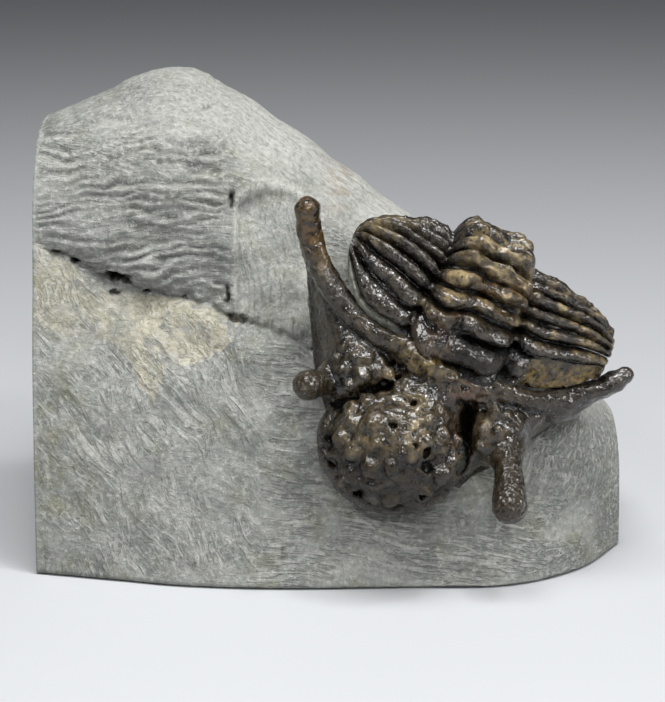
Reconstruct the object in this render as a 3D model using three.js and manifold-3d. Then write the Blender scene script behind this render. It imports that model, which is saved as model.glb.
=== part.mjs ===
// A stalk-eyed trilobite, arched over the block of limestone that it was prepared from.
// Millimetres, +Z up. The block stands on its flat base; the animal looks out over its front, -Y.
import * as THREE from "three";
import { ParametricGeometry } from "three/addons/geometries/ParametricGeometry.js";
import { mergeVertices } from "three/addons/utils/BufferGeometryUtils.js";
import Module from "manifold-3d";

const wasm = await Module();
wasm.setup();

// ---- Driving dimensions ----

const GAP = 0.3; // clearance between a plate of the animal and the rock or the next plate
const DEG = Math.PI / 180;

// The block: eight upright sections from its sawn left face to its rounded right end. Each lists
// [y, z] from the foot of the front face, up over the ridge and on to the top of the back face.
const BLOCK_SECTIONS = [
  [-28.6, [
    [-11.6, 0], [-10.6, 12], [-9.4, 21], [-7.2, 29], [-6.6, 32],
    [-5.2, 37], [-1, 41.5], [6, 43], [15, 41.8], [18.5, 38.8],
  ]],
  [-20, [
    [-13.8, 0], [-12, 12], [-9.8, 20], [-6.6, 26], [-6.6, 30],
    [-5.6, 36], [-2.2, 42], [5, 45.3], [13, 46], [19, 42.6],
  ]],
  [-13.5, [
    [-15.4, 0], [-12.9, 11], [-10.7, 19], [-7.6, 25], [-6.6, 29],
    [-5.2, 35], [-1.8, 41.5], [5.5, 46.6], [13, 47], [19.3, 43],
  ]],
  [-4, [
    [-16.2, 0], [-13.9, 8], [-12, 15], [-9.4, 22], [-7.2, 27],
    [-4.8, 32.5], [-1, 37.5], [5.5, 40.8], [13, 41.4], [19.4, 37.6],
  ]],
  [8, [
    [-15.8, 0], [-14.2, 5], [-12, 10], [-9.5, 15], [-7, 19.5],
    [-4, 24], [0, 28.5], [6, 31.8], [13, 32.4], [19.2, 28.8],
  ]],
  [18, [
    [-15.2, 0], [-13.8, 4], [-12.2, 8], [-10.4, 12], [-8, 15.5],
    [-5, 18.5], [0, 21.5], [6, 24], [13, 24], [18.6, 20],
  ]],
  [25.5, [
    [-10.4, 0], [-10, 4], [-9.5, 7.5], [-8.6, 11], [-7, 13.6],
    [-4, 15.4], [0, 16.8], [6, 17.6], [12, 17], [17, 13],
  ]],
  [30.4, [
    [-2.6, 0], [-2.6, 3], [-2.2, 6], [-1.4, 8.4], [0, 10],
    [2, 11], [4, 11.6], [7, 11.8], [10, 11], [12.5, 8],
  ]],
];
const BLOCK_RINGS = 25; // rings of faces from left to right
const FRONT_STEPS = 24; // faces up the front and over the ridge
const BACK_STEPS = 4; // faces down the back
const BASE_STEPS = 4; // faces under the base
// The flat that the block stands on: its edges in x and y, and how far it is below the worn lower
// edge of the block.
const STAND = { left: -26, right: 18, front: -9, back: 15, drop: 0.25 };

// The animal's own axes: x across it, y towards its tail, z up from its back. The origin is the
// middle of the line that its body is bent round.
const ANIMAL_PLACE = new THREE.Vector3(14.3, -10.1, 27.7);
const ANIMAL_TURN = new THREE.Euler(132 * DEG, 25 * DEG, 1 * DEG, "ZYX");

// The thorax bends tightly over its first segments and opens out towards the tail.
const SEGMENTS = 11;
const FIRST_ANGLE = -11 * DEG;
const BEND_END = 8; // the last segment of the tight bend
const BEND_TURN = 18.3 * DEG; // per segment
const TAIL_TURN = 6 * DEG; // per segment after the bend
const TAIL_STEP = 1.6; // per segment: how far the bend's centre travels after the bend
const PYGIDIUM_LENGTH = 4; // in segment spacings
// [segment, distance from the bend's centre to the furrow beside the axis]
const FURROW_RADIUS = [[0, 7], [1, 6.4], [2, 5.3], [3, 4.7], [11, 4.4]];
const AXIS_HALF_WIDTH = 4.9;
const AXIS_RISE = 1.9; // how far the axial rings stand above the furrow
const LEFT_HALF_WIDTH = 13.2;
const RIGHT_HALF_WIDTH = 14.8;
const TIP_RADIUS = 1.9; // from the bend's centre to the tips of the ribs
const RIB_RISE = 0.9;
// The ribs sweep back towards their tips, by so many segments. On the left the first ribs keep
// straight for longer: [segment, segments of sweep before the tip bends].
const LEFT_SWEEP = [[1, 0.1], [2, 1], [3, 1.9]];
const LEFT_TIP_SWEEP = 2.1;
const RIGHT_SWEEP = [[0.4, 0.2], [1.5, 1.2], [3, 1.5], [8, 0.4]];
const RIGHT_TIP_SWEEP = 1;
const SHELL = 1.6; // thickness of a plate
const CORE_CLEARANCE = 0.2; // more room under the plates, for their flat faces
// Where the core ends inside the block: its y and its two z, and how wide it still is.
const CORE_FOOT = { y: -13, low: -9, high: 4, width: 0.94 };
const HEAD_TILT = -54 * DEG; // the head is bent back on the first segment

// ---- Solids ----

// A closed geometry as a solid for joining and cutting, with its seams merged.
function solid(geometry) {
  geometry.deleteAttribute("normal");
  geometry.deleteAttribute("uv");
  const merged = mergeVertices(geometry, 1e-4);
  const faces = [];
  for (let i = 0; i < merged.index.count; i += 3) {
    const [a, b, c] = merged.index.array.slice(i, i + 3);
    if (a !== b && b !== c && c !== a) faces.push([a, b, c]);
  }
  const build = (triangles) =>
    new wasm.Manifold(
      new wasm.Mesh({
        numProp: 3,
        vertProperties: merged.attributes.position.array,
        triVerts: new Uint32Array(triangles.flat()),
      }),
    );
  const made = build(faces);
  return made.volume() > 0 ? made : build(faces.map(([a, b, c]) => [a, c, b]));
}

// The largest body of a solid: a cut can leave crumbs beside it.
function largest(made) {
  return made.decompose().reduce((best, body) => (body.volume() > best.volume() ? body : best));
}

function mesh(name, made, material) {
  const { vertProperties, triVerts } = made.getMesh();
  const geometry = new THREE.BufferGeometry();
  geometry.setAttribute("position", new THREE.BufferAttribute(vertProperties, 3));
  geometry.setIndex(new THREE.BufferAttribute(triVerts, 1));
  geometry.computeVertexNormals();
  const part = new THREE.Mesh(geometry, material);
  part.name = name;
  return part;
}

// A closed skin of rings. ringPoint(i, u) is the point of ring i at share u of the way round; the
// first and the last ring close on their own middle.
function skin(rings, sides, ringPoint) {
  const middle = (i) => {
    const sum = new THREE.Vector3();
    for (let k = 0; k < sides; k++) sum.add(ringPoint(i, k / sides));
    return sum.divideScalar(sides);
  };
  const ends = [middle(0), middle(rings - 1)];
  const surface = (u, v, target) => {
    const i = Math.round(v * (rings + 1)) - 1;
    if (i < 0) target.copy(ends[0]);
    else if (i >= rings) target.copy(ends[1]);
    else target.copy(ringPoint(i, u % 1));
  };
  return new ParametricGeometry(surface, sides, rings + 1);
}

// A rounded limb along a curve, radiusAt(s) thick at share s of its length.
function limb(points, radiusAt, rings, sides) {
  const curve = new THREE.CatmullRomCurve3(points.map((p) => new THREE.Vector3(...p)));
  const frames = curve.computeFrenetFrames(rings - 1);
  return skin(rings, sides, (i, u) => {
    const s = i / (rings - 1);
    const angle = 2 * Math.PI * u;
    return curve
      .getPointAt(s)
      .addScaledVector(frames.normals[i], radiusAt(s) * Math.cos(angle))
      .addScaledVector(frames.binormals[i], radiusAt(s) * Math.sin(angle));
  });
}

function ball(centre, radii, across, up) {
  return new THREE.SphereGeometry(1, across, up).scale(...radii).translate(...centre);
}

// Straight-line interpolation through [x, value] pairs.
function ramp(x, pairs) {
  const last = pairs.length - 1;
  if (x <= pairs[0][0]) return pairs[0][1];
  if (x >= pairs[last][0]) return pairs[last][1];
  const k = pairs.findIndex(([at]) => at > x);
  const [[x0, v0], [x1, v1]] = [pairs[k - 1], pairs[k]];
  return v0 + ((v1 - v0) * (x - x0)) / (x1 - x0);
}

// ---- The block ----

const spline = (points) => new THREE.CatmullRomCurve3(points, false, "catmullrom", 0.5);

// Low waves left by the preparator's tools, and the joint that crosses the front of the block.
function blockRelief(x, z) {
  const waves = 0.25 * Math.sin(0.55 * x + 0.8 * z) + 0.2 * Math.sin(1.1 * z - 0.35 * x + 1);
  const joint = 30 - 0.36 * (x + 28.6); // height of the joint where it passes x
  const groove = x < 2 ? 1.1 * Math.exp(-(((z - joint) / 1.5) ** 2)) : 0;
  const channel = 0.9 * Math.exp(-(((x + 5.5) / 3) ** 4)) * (z > 23 && z < 39 ? 1 : 0);
  return waves - groove - channel;
}

function block(grow) {
  const sections = BLOCK_SECTIONS.map(([x, profile]) =>
    spline(profile.map(([y, z]) => new THREE.Vector3(x, y, z))),
  );
  const rails = Array.from({ length: FRONT_STEPS + 1 }, (_, k) =>
    spline(sections.map((section) => section.getPoint(k / FRONT_STEPS))),
  );
  const sides = FRONT_STEPS + BACK_STEPS + BASE_STEPS;
  return skin(BLOCK_RINGS + 1, sides, (i, u) => {
    const s = i / BLOCK_RINGS;
    const k = Math.round(u * sides);
    const foot = rails[0].getPoint(s);
    const crest = rails[FRONT_STEPS].getPoint(s);
    const heel = new THREE.Vector3(crest.x, crest.y + 0.4, 0);
    let point;
    if (k <= FRONT_STEPS) {
      point = rails[k].getPoint(s);
      if (k > 0 && k < FRONT_STEPS) {
        const share = Math.sin((Math.PI * k) / FRONT_STEPS) ** 0.5;
        point.y -= share * blockRelief(point.x, point.z);
      }
    } else if (k <= FRONT_STEPS + BACK_STEPS) {
      point = crest.lerp(heel, (k - FRONT_STEPS) / BACK_STEPS);
    } else {
      const step = k - FRONT_STEPS - BACK_STEPS;
      point = heel.lerp(foot, step / BASE_STEPS);
      if (point.x > STAND.left && point.x < STAND.right) {
        point.y = THREE.MathUtils.lerp(STAND.back, STAND.front, (step - 1) / (BASE_STEPS - 2));
        point.z = -STAND.drop;
      }
    }
    if (grow) {
      const middle = new THREE.Vector3(point.x, 4, 0.4 * crest.z);
      point.addScaledVector(point.clone().sub(middle).normalize(), 1.3 * grow);
    }
    return point;
  });
}

// ---- The thorax's shape ----

// The turn of the body at segment t, from the back of the head.
function bendAngle(t) {
  return FIRST_ANGLE + BEND_TURN * Math.min(t, BEND_END) + TAIL_TURN * Math.max(t - BEND_END, 0);
}

// A point over the bend: x across the animal, t segments back, height above the bend's centre.
function onBody(x, t, height) {
  const angle = bendAngle(t);
  const point = new THREE.Vector3(x, height * Math.sin(angle), height * Math.cos(angle));
  if (t > BEND_END) {
    const start = bendAngle(BEND_END);
    const radius = TAIL_STEP / TAIL_TURN;
    point.y += radius * (Math.sin(angle) - Math.sin(start));
    point.z += radius * (Math.cos(angle) - Math.cos(start));
  }
  return point;
}

function axisHalfWidth(t) {
  return AXIS_HALF_WIDTH - 0.12 * Math.max(t, 0);
}

// Half the body's width on the side of x.
function halfWidth(x, t) {
  return (x < 0 ? LEFT_HALF_WIDTH : RIGHT_HALF_WIDTH) - 0.25 * Math.max(t - 5, 0);
}

// Where a rib has got to at x when its root is at segment t, counted in segments.
function swept(x, t) {
  const axis = axisHalfWidth(t);
  const out = THREE.MathUtils.clamp((Math.abs(x) - axis) / (halfWidth(x, t) - axis), 0, 1);
  const steady = ramp(t, x < 0 ? LEFT_SWEEP : RIGHT_SWEEP);
  const tip = x < 0 ? LEFT_TIP_SWEEP : RIGHT_TIP_SWEEP;
  return t + steady * out + (tip - steady) * out ** 6;
}

// Height of the smooth back over the bend's centre.
function backHeight(x, t) {
  const across = Math.abs(x);
  const furrow = ramp(t, FURROW_RADIUS);
  const axis = axisHalfWidth(t);
  if (across < axis) return furrow + AXIS_RISE * Math.sqrt(1 - (across / axis) ** 3);
  const share = Math.min((across - axis) / (halfWidth(x, t) - axis), 1);
  return Math.sqrt(TIP_RADIUS ** 2 + (furrow ** 2 - TIP_RADIUS ** 2) * (1 - share ** 2));
}

// ---- The animal's plates, in its own axes ----

// Where a segment's sections stand, as shares of the half width; each entry of RIB_OUTLINE is
// [share of the segment spacing, share of RIB_RISE].
const SEGMENT_STATIONS = [0.03, 0.13, 0.22, 0.29, 0.35, 0.42, 0.54, 0.67, 0.8, 0.91, 0.98];
const RIB_OUTLINE = [[-0.45, -0.5], [-0.3, 0.65], [0, 1], [0.3, 0.65], [0.45, -0.5]];

// One segment: an axial ring with a knob at each end, and a rib running out to each side.
function segment(number) {
  const stations = bothSides(SEGMENT_STATIONS);
  const sides = RIB_OUTLINE.length + 2;
  return skin(stations.length, sides, (i, u) => {
    const out = Math.abs(stations[i]);
    const x = stations[i] * halfWidth(stations[i], number);
    const k = Math.round(u * sides);
    const top = backHeight(x, swept(x, number));
    const axis = axisHalfWidth(number);
    const knob = Math.exp(-(((Math.abs(x) - 0.8 * axis) / 0.9) ** 2));
    const neck = Math.exp(-(((Math.abs(x) - 1.03 * axis) / 0.5) ** 2));
    const width = (1 - 0.22 * neck) * (1 - 0.35 * out ** 6);
    if (k < RIB_OUTLINE.length) {
      const [along, rise] = RIB_OUTLINE[k];
      const crest = RIB_RISE * (rise * (1 + 0.5 * knob) - 0.9 * neck);
      return onBody(x, swept(x, number + along * width), top + crest);
    }
    const under = k === RIB_OUTLINE.length ? 0.4 : -0.4;
    return onBody(x, swept(x, number + under * width), top - SHELL * (1 - 0.4 * out ** 4));
  });
}

const PYGIDIUM_RIBS = 4;

// The tail shield: one plate with ribs that fade backwards, closing to a blunt point.
function pygidium() {
  const rings = 13;
  const sides = 14;
  return skin(rings, sides, (i, u) => {
    const s = i / (rings - 1);
    const t = SEGMENTS + 0.55 + PYGIDIUM_LENGTH * s;
    const reach = Math.sqrt(Math.max(1 - s ** 2.2, 0.02));
    const rib = 0.5 * (1 - s) * Math.cos(2 * Math.PI * (PYGIDIUM_RIBS * s - 0.5));
    const angle = 2 * Math.PI * u;
    const side = -Math.cos(angle);
    const full = 0.95 * halfWidth(side, SEGMENTS);
    const height = backHeight(side * full, SEGMENTS) - 1.2 * s;
    const upper = Math.sin(angle) > -1e-6;
    const top = height + rib * (1 - side ** 6);
    const x = side * full * reach;
    return onBody(x, swept(x, t), upper ? top : Math.max(height - SHELL, 1));
  });
}

// The rock inside the arched body: a core under the plates, from the back of the head to the tail.
function core(grow) {
  const from = -0.5;
  const to = SEGMENTS + PYGIDIUM_LENGTH;
  const arcSteps = 16;
  const stations = [-12, -9.5, -7, -4.7, -3, 3, 4.7, 7.2, 10, 12.6];
  const sides = arcSteps + 3;
  return skin(stations.length, sides, (i, u) => {
    const atEnd = i === 0 || i === stations.length - 1;
    const x = stations[i] + (atEnd ? Math.sign(stations[i]) * grow : 0);
    const k = Math.round(u * sides);
    if (k > arcSteps) {
      const z = k === arcSteps + 1 ? CORE_FOOT.low - grow : CORE_FOOT.high + grow;
      return new THREE.Vector3(CORE_FOOT.width * x, CORE_FOOT.y - grow, z);
    }
    const t = from + ((to - from) * k) / arcSteps;
    const tail = Math.max(t - SEGMENTS, 0);
    const narrowing = 1 - 0.025 * Math.max(t - 7, 0);
    const height = backHeight(x * narrowing, t) - SHELL - GAP - CORE_CLEARANCE - 0.6 * tail;
    return onBody(x * narrowing, t, Math.max(height, 0.6) + 1.3 * grow);
  });
}

// ---- The head, in axes of its own: x across, y towards the tail, z up from its back ----

const mirror = ([x, y, z]) => [-x, y, z];

// [distance from the middle, y, z] along the rim of the head, from its front to its corners, and
// along its rear edge.
const RIM = [
  [0, -23.2, -2.2], [3, -22.7, -2.2], [5.5, -20.8, -2.1], [7, -18.2, -2.4], [8, -16.2, -2.6],
  [10, -14.4, -2.9], [11.7, -11.2, -3], [13.2, -8.4, -2.8], [14.6, -5.8, -2.1], [16.4, -2.6, -0.8],
];
const REAR = [
  [0, -8.2, 4.6], [4.5, -7.2, 3.1], [8, -7, 2.7], [10.7, -6.1, 2.1], [13.2, -4.5, 1.4], [16.4, -1.6, 1.1],
];
const BORDER_FURROW = 1.3; // depth of the furrow in front of the rear border
const RIM_RISE = 1;
const RIM_AT = 0.95; // share of the way to the edge
const CROWN = [[0, 1.2], [4.2, 1.4], [6, 3.6], [8.2, 4.4], [10.5, 3.6], [13, 1.9], [16.4, 0.3]];

// Value k of the [x, value, value] triples at a distance from the middle.
const alongEdge = (across, edge, k) => ramp(across, edge.map((point) => [point[0], point[k]]));

// The back of the head beside the glabella, at share s from the rear edge to the rim.
function cheekTop(x, s) {
  const across = Math.abs(x);
  const furrow = s === 0 ? 0 : BORDER_FURROW;
  const lip = RIM_RISE * Math.exp(-(((s - RIM_AT) / 0.05) ** 2));
  return new THREE.Vector3(
    x,
    THREE.MathUtils.lerp(alongEdge(across, REAR, 1), alongEdge(across, RIM, 1), s),
    THREE.MathUtils.lerp(alongEdge(across, REAR, 2) - furrow, alongEdge(across, RIM, 2), s) +
      ramp(across, CROWN) * Math.sin(Math.PI * s ** 0.85) + lip,
  );
}

const HEAD_STATIONS = [0, 3, 5.5, 7, 8.6, 10.4, 12.2, 14, 16.2];
const bothSides = (stations) => [...stations.filter((x) => x > 0).map((x) => -x).reverse(), ...stations];

function cheeks() {
  const stations = bothSides(HEAD_STATIONS);
  const top = [0, 0.1, 0.3, 0.5, 0.72, 0.87, RIM_AT, 1];
  const under = [0.9, 0.5, 0.06];
  return skin(stations.length, top.length + under.length, (i, u) => {
    const k = Math.round(u * (top.length + under.length));
    if (k < top.length) return cheekTop(stations[i], top[k]);
    const point = cheekTop(stations[i], under[k - top.length]);
    point.z -= SHELL;
    return point;
  });
}

// The rock under the head, down into the block.
function headCore(grow) {
  const stations = bothSides(HEAD_STATIONS.slice(0, -1));
  const top = [0.1, 0.3, 0.5, 0.72, 0.87];
  return skin(stations.length, top.length + 2, (i, u) => {
    const k = Math.round(u * (top.length + 2));
    const share = top[k] ?? (k === top.length ? 0.87 : 0.1);
    const point = cheekTop(stations[i], share);
    point.z += 1.3 * grow - SHELL - GAP - CORE_CLEARANCE;
    if (k >= top.length) point.z = -13;
    if (share === 0.87) point.y -= grow;
    if (share === 0.1) point.y += grow;
    if (i === 0) point.x -= grow;
    if (i === stations.length - 1) point.x += grow;
    return point;
  });
}

const BULB = { centre: [-1.4, -16.3, 2.2], radii: [7.1, 6.2, 5.9] };

function glabella() {
  const { centre, radii } = BULB;
  const neck = limb([[0, -8.4, 0.9], [-0.5, -11.5, 1.2], [-1.2, -15, 1.8]], (s) => 3.7 + 1.4 * s, 4, 10);
  return solid(ball(centre, radii, 14, 10)).add(solid(neck));
}

// Tubercles spread evenly over the bulb's upper side.
function tubercles() {
  const { centre, radii } = BULB;
  const count = 36;
  const turn = Math.PI * (3 - Math.sqrt(5));
  const made = [];
  for (let i = 0; i < count; i++) {
    const z = 1 - (1.15 * (i + 0.5)) / count;
    const r = Math.sqrt(1 - z * z);
    const spot = [r * Math.cos(i * turn), r * Math.sin(i * turn), z];
    const at = spot.map((v, k) => centre[k] + 0.95 * v * radii[k]);
    if (at[1] < -12.5) made.push(solid(ball(at, [1, 1, 1], 5, 3)));
  }
  return made;
}

const BORDER = [[4.2, -7.2, 3], [8.1, -7, 2.9], [10.7, -6.1, 2.4], [13.2, -4.5, 1.7], [15.2, -3, 1.4]];
const LEFT_SPINE = [[-17.2, -0.7, 1.8], [-18.4, 1.9, 3]];
const RIGHT_SPINE = [[16.4, -1.4, 1.2], [17.4, -0.2, 1.1]];
const RIGHT_STALK = [[7.6, -10.8, 0.7], [9.4, -13.4, 3.6], [11.2, -18, 6]];
const LEFT_STALK = [[-8.4, -12, 0], [-10.2, -13.5, 2.6], [-12, -14.5, 4.9]];

// A limb's radius that closes to a blunt round end.
function rounded(radius) {
  return (s) => {
    const end = Math.max(s - 0.86, 0) / 0.14;
    return radius(s) * Math.sqrt(Math.max(1 - end ** 2, 0.05));
  };
}

function head() {
  const spineRadius = (thin) => rounded((s) => 1.25 - thin * Math.max(s - 0.6, 0));
  const leftStalkRadius = rounded((s) => 2.1 - 3.4 * s + 3.2 * s * s);
  const rightStalkRadius = rounded((s) => 2.8 - 4.4 * s + 3.4 * s * s);
  const pieces = [
    solid(cheeks()),
    glabella(),
    ...tubercles(),
    solid(limb([...BORDER.map(mirror), ...LEFT_SPINE], spineRadius(0), 12, 6)),
    solid(limb([...BORDER, ...RIGHT_SPINE], spineRadius(1), 11, 6)),
    solid(limb(RIGHT_STALK, rightStalkRadius, 9, 7)),
    solid(limb(LEFT_STALK, leftStalkRadius, 9, 7)),
    // the occipital ring, across the back of the head
    solid(limb([[-4.6, -7.2, 3.2], [-2, -8, 4.6], [2, -8.2, 4.6], [4.6, -7.8, 3.2]], () => 1.4, 6, 6)),
  ];
  for (const x of [-8, 8]) pieces.push(solid(ball([x, -10.6, 0.6], [3.6, 3.8, 3.4], 9, 7)));
  return pieces.reduce((sum, piece) => sum.add(piece));
}

// ---- Assembly ----

const rock = new THREE.MeshStandardMaterial({ color: 0xb4b5ad, roughness: 0.9, metalness: 0 });
const fossil = new THREE.MeshStandardMaterial({ color: 0x3a2c20, roughness: 0.3, metalness: 0 });

const part = new THREE.Group();
const animal = new THREE.Group();
animal.position.copy(ANIMAL_PLACE);
animal.rotation.copy(ANIMAL_TURN);
animal.updateMatrix();
part.add(animal);
const cephalon = new THREE.Group();
cephalon.rotation.x = HEAD_TILT;
cephalon.updateMatrix();
animal.add(cephalon);

// The rock, with the block and both cores taken into the axes that a matrix gives.
function rockIn(axes, grow) {
  const inAnimal = axes.clone().multiply(animal.matrix);
  const inHead = inAnimal.clone().multiply(cephalon.matrix);
  return solid(block(grow).applyMatrix4(axes))
    .add(solid(core(grow).applyMatrix4(inAnimal)))
    .add(solid(headCore(grow).applyMatrix4(inHead)));
}

// A plate clear of the rock: it is cut back only where it meets it.
function clearOfRock(plate, axes) {
  const meets = plate.intersect(rockIn(axes, 0)).volume() > 0;
  return meets ? largest(plate.subtract(rockIn(axes, GAP))) : plate;
}

const animalAxes = animal.matrix.clone().invert();
const headAxes = cephalon.matrix.clone().invert().multiply(animalAxes);
part.add(mesh("matrix_block", largest(rockIn(new THREE.Matrix4(), 0)), rock));
cephalon.add(mesh("cephalon", clearOfRock(head(), headAxes), fossil));
for (let number = 1; number <= SEGMENTS; number++) {
  const name = `thoracic_segment_${String(number).padStart(2, "0")}`;
  animal.add(mesh(name, clearOfRock(solid(segment(number)), animalAxes), fossil));
}
animal.add(mesh("pygidium", clearOfRock(solid(pygidium()), animalAxes), fossil));

// The origin is the middle of the whole object's footprint, on the surface that it stands on.
part.updateMatrixWorld(true);
const bounds = new THREE.Box3().setFromObject(part, true);
const middle = bounds.getCenter(new THREE.Vector3());
part.position.set(-middle.x, -middle.y, -bounds.min.z);

export default part;
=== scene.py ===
import math

import bpy
import numpy as np
import openvdb
from mathutils import Euler, Matrix, Vector


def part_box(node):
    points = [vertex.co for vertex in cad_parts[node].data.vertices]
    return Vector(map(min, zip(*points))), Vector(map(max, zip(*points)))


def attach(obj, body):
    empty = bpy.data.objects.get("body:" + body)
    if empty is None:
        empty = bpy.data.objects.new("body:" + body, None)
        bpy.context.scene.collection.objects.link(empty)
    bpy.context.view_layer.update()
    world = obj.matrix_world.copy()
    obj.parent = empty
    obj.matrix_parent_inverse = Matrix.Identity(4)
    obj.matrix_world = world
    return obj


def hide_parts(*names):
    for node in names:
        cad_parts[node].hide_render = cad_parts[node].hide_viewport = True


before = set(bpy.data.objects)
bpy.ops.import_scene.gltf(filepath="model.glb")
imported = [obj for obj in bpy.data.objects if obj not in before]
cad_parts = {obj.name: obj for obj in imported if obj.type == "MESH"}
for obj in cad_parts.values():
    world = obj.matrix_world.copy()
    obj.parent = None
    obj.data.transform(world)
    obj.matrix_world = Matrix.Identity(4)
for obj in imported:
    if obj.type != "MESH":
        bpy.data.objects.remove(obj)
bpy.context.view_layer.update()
MM = 0.001
DEG = math.pi / 180

# Profiles of the block from its left end to its right: x, then (y, z) up the front and over the top.
BLOCK_SECTIONS = [
    (-28.6, [(-11.6, 0), (-10.6, 12), (-9.4, 21), (-7.2, 29), (-6.6, 32),
             (-5.2, 37), (-1, 41.5), (6, 43), (15, 41.8), (18.5, 38.8)]),
    (-20, [(-13.8, 0), (-12, 12), (-9.8, 20), (-6.6, 26), (-6.6, 30),
           (-5.6, 36), (-2.2, 42), (5, 45.3), (13, 46), (19, 42.6)]),
    (-13.5, [(-15.4, 0), (-12.9, 11), (-10.7, 19), (-7.6, 25), (-6.6, 29),
             (-5.2, 35), (-1.8, 41.5), (5.5, 46.6), (13, 47), (19.3, 43)]),
    (-4, [(-16.2, 0), (-13.9, 8), (-12, 15), (-9.4, 22), (-7.2, 27),
          (-4.8, 32.5), (-1, 37.5), (5.5, 40.8), (13, 41.4), (19.4, 37.6)]),
    (8, [(-15.8, 0), (-14.2, 5), (-12, 10), (-9.5, 15), (-7, 19.5),
         (-4, 24), (0, 28.5), (6, 31.8), (13, 32.4), (19.2, 28.8)]),
    (18, [(-15.2, 0), (-13.8, 4), (-12.2, 8), (-10.4, 12), (-8, 15.5),
          (-5, 18.5), (0, 21.5), (6, 24), (13, 24), (18.6, 20)]),
    (25.5, [(-10.4, 0), (-10, 4), (-9.5, 7.5), (-8.6, 11), (-7, 13.6),
            (-4, 15.4), (0, 16.8), (6, 17.6), (12, 17), (17, 13)]),
    (30.4, [(-2.6, 0), (-2.6, 3), (-2.2, 6), (-1.4, 8.4), (0, 10),
            (2, 11), (4, 11.6), (7, 11.8), (10, 11), (12.5, 8)]),
]
BLOCK_LEFT = -28.6
BLOCK_BACK = 19.8
STAND = {"left": -26, "right": 18, "front": -9, "back": 15, "drop": 0.25}

ANIMAL_PLACE = (14.3, -10.1, 27.7)
ANIMAL_TURN = Euler((132 * DEG, 25 * DEG, 1 * DEG), "XYZ")
HEAD_TILT = -54 * DEG
SEGMENTS = 11
FIRST_ANGLE = -11 * DEG
BEND_END = 8
BEND_TURN = 18.3 * DEG
TAIL_TURN = 6 * DEG
TAIL_STEP = 1.6
PYGIDIUM_LENGTH = 4
FURROW_RADIUS = [(0, 7), (1, 6.4), (2, 5.3), (3, 4.7), (11, 4.4)]
AXIS_HALF_WIDTH = 4.9
AXIS_RISE = 1.9
LEFT_HALF_WIDTH = 13.2
RIGHT_HALF_WIDTH = 14.8
TIP_RADIUS = 1.9
RIB_RISE = 0.9
LEFT_SWEEP = [(1, 0.1), (2, 1), (3, 1.9)]
LEFT_TIP_SWEEP = 2.1
RIGHT_SWEEP = [(0.4, 0.2), (1.5, 1.2), (3, 1.5), (8, 0.4)]
RIGHT_TIP_SWEEP = 1
SHELL = 1.6
# How far the right of the first rings is pushed towards the tail: (segment, segments).
RING_SKEW = [(0.45, 0), (1, 0.32), (2.2, 0.4), (4.5, 0)]

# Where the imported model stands, against the axes above.
low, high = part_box("matrix_block")
SHIFT = np.array([low[0] / MM - BLOCK_LEFT, high[1] / MM - BLOCK_BACK, low[2] / MM + STAND["drop"]])

# ---- Arithmetic ----

_random = np.random.RandomState(11)
_PERM = np.tile(_random.permutation(256), 3)
_GRADIENTS = _random.normal(size=(256, 3))
_GRADIENTS /= np.linalg.norm(_GRADIENTS, axis=1)[:, None]
_CORNERS = [np.array([i, j, k]) for i in (0, 1) for j in (0, 1) for k in (0, 1)]


def noise(p, size, seed=0, octaves=1):
    """Gradient noise from about -1 to 1 at points p (..., 3), with lumps of that size or sizes."""
    p = np.asarray(p, dtype=np.float64) / np.asarray(size, dtype=np.float64)
    total = np.zeros(p.shape[:-1])
    for octave in range(octaves):
        q = p * 2.03**octave + 17.3 * seed + 5.1 * octave
        cell = np.floor(q).astype(np.int64)
        f = q - cell
        w = f * f * f * (f * (f * 6 - 15) + 10)
        value = np.zeros(p.shape[:-1])
        for corner in _CORNERS:
            near = (cell + corner) & 255
            index = _PERM[_PERM[_PERM[near[..., 0]] + near[..., 1]] + near[..., 2]]
            dot = ((f - corner) * _GRADIENTS[index]).sum(-1)
            share = np.abs(1 - corner - w)
            value += dot * share[..., 0] * share[..., 1] * share[..., 2]
        total += 1.6 * value * 0.5**octave
    return total


def ridged(p, size, seed=0, octaves=1):
    """Noise with crests: 1 on a crest, falling to about -1."""
    return 1 - 3 * np.abs(noise(p, size, seed, octaves))


def step(x, low, high):
    """0 below low, 1 above high, smooth between."""
    t = np.clip((x - low) / (high - low), 0, 1)
    return t * t * (3 - 2 * t)


def between(x, low, from_, to, high):
    """1 from from_ to to, and 0 below low and above high."""
    return step(x, low, from_) * step(high - x, 0, high - to)


def bell(x, width):
    return np.exp(-((x / width) ** 2))


def ramp(x, pairs, k=1):
    """The kth number of the entries in pairs, at x between their first numbers."""
    return np.interp(x, [p[0] for p in pairs], [p[k] for p in pairs])


def oval(x, y, wide, tall):
    """Distance from the middle of an oval: 1 on its edge."""
    return np.sqrt((x / wide) ** 2 + (y / tall) ** 2)


def plane(x, y, z=0):
    """Points for noise over a plane."""
    return np.stack([x, y, 0 * x + z], -1)


def catmull(points, u):
    """A uniform Catmull-Rom curve through points (n, ...) at shares u of its spans."""
    points = np.asarray(points, dtype=float)
    padded = np.concatenate([[2 * points[0] - points[1]], points, [2 * points[-1] - points[-2]]])
    at = np.clip(np.asarray(u) * (len(points) - 1), 0, len(points) - 1)
    i = np.minimum(at.astype(int), len(points) - 2)
    t = (at - i).reshape(at.shape + (1,) * (points.ndim - 1))
    a, b, c, d = (padded[i + k] for k in range(4))
    v0, v1 = (c - a) / 2, (d - b) / 2
    return (2 * b - 2 * c + v0 + v1) * t**3 + (-3 * b + 3 * c - 2 * v0 - v1) * t**2 + v0 * t + b


def smooth_min(a, b, k):
    """The lesser of a and b, rounded where they are within k of each other."""
    h = np.clip(0.5 + 0.5 * (b - a) / k, 0, 1)
    return b + (a - b) * h - k * h * (1 - h)


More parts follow.
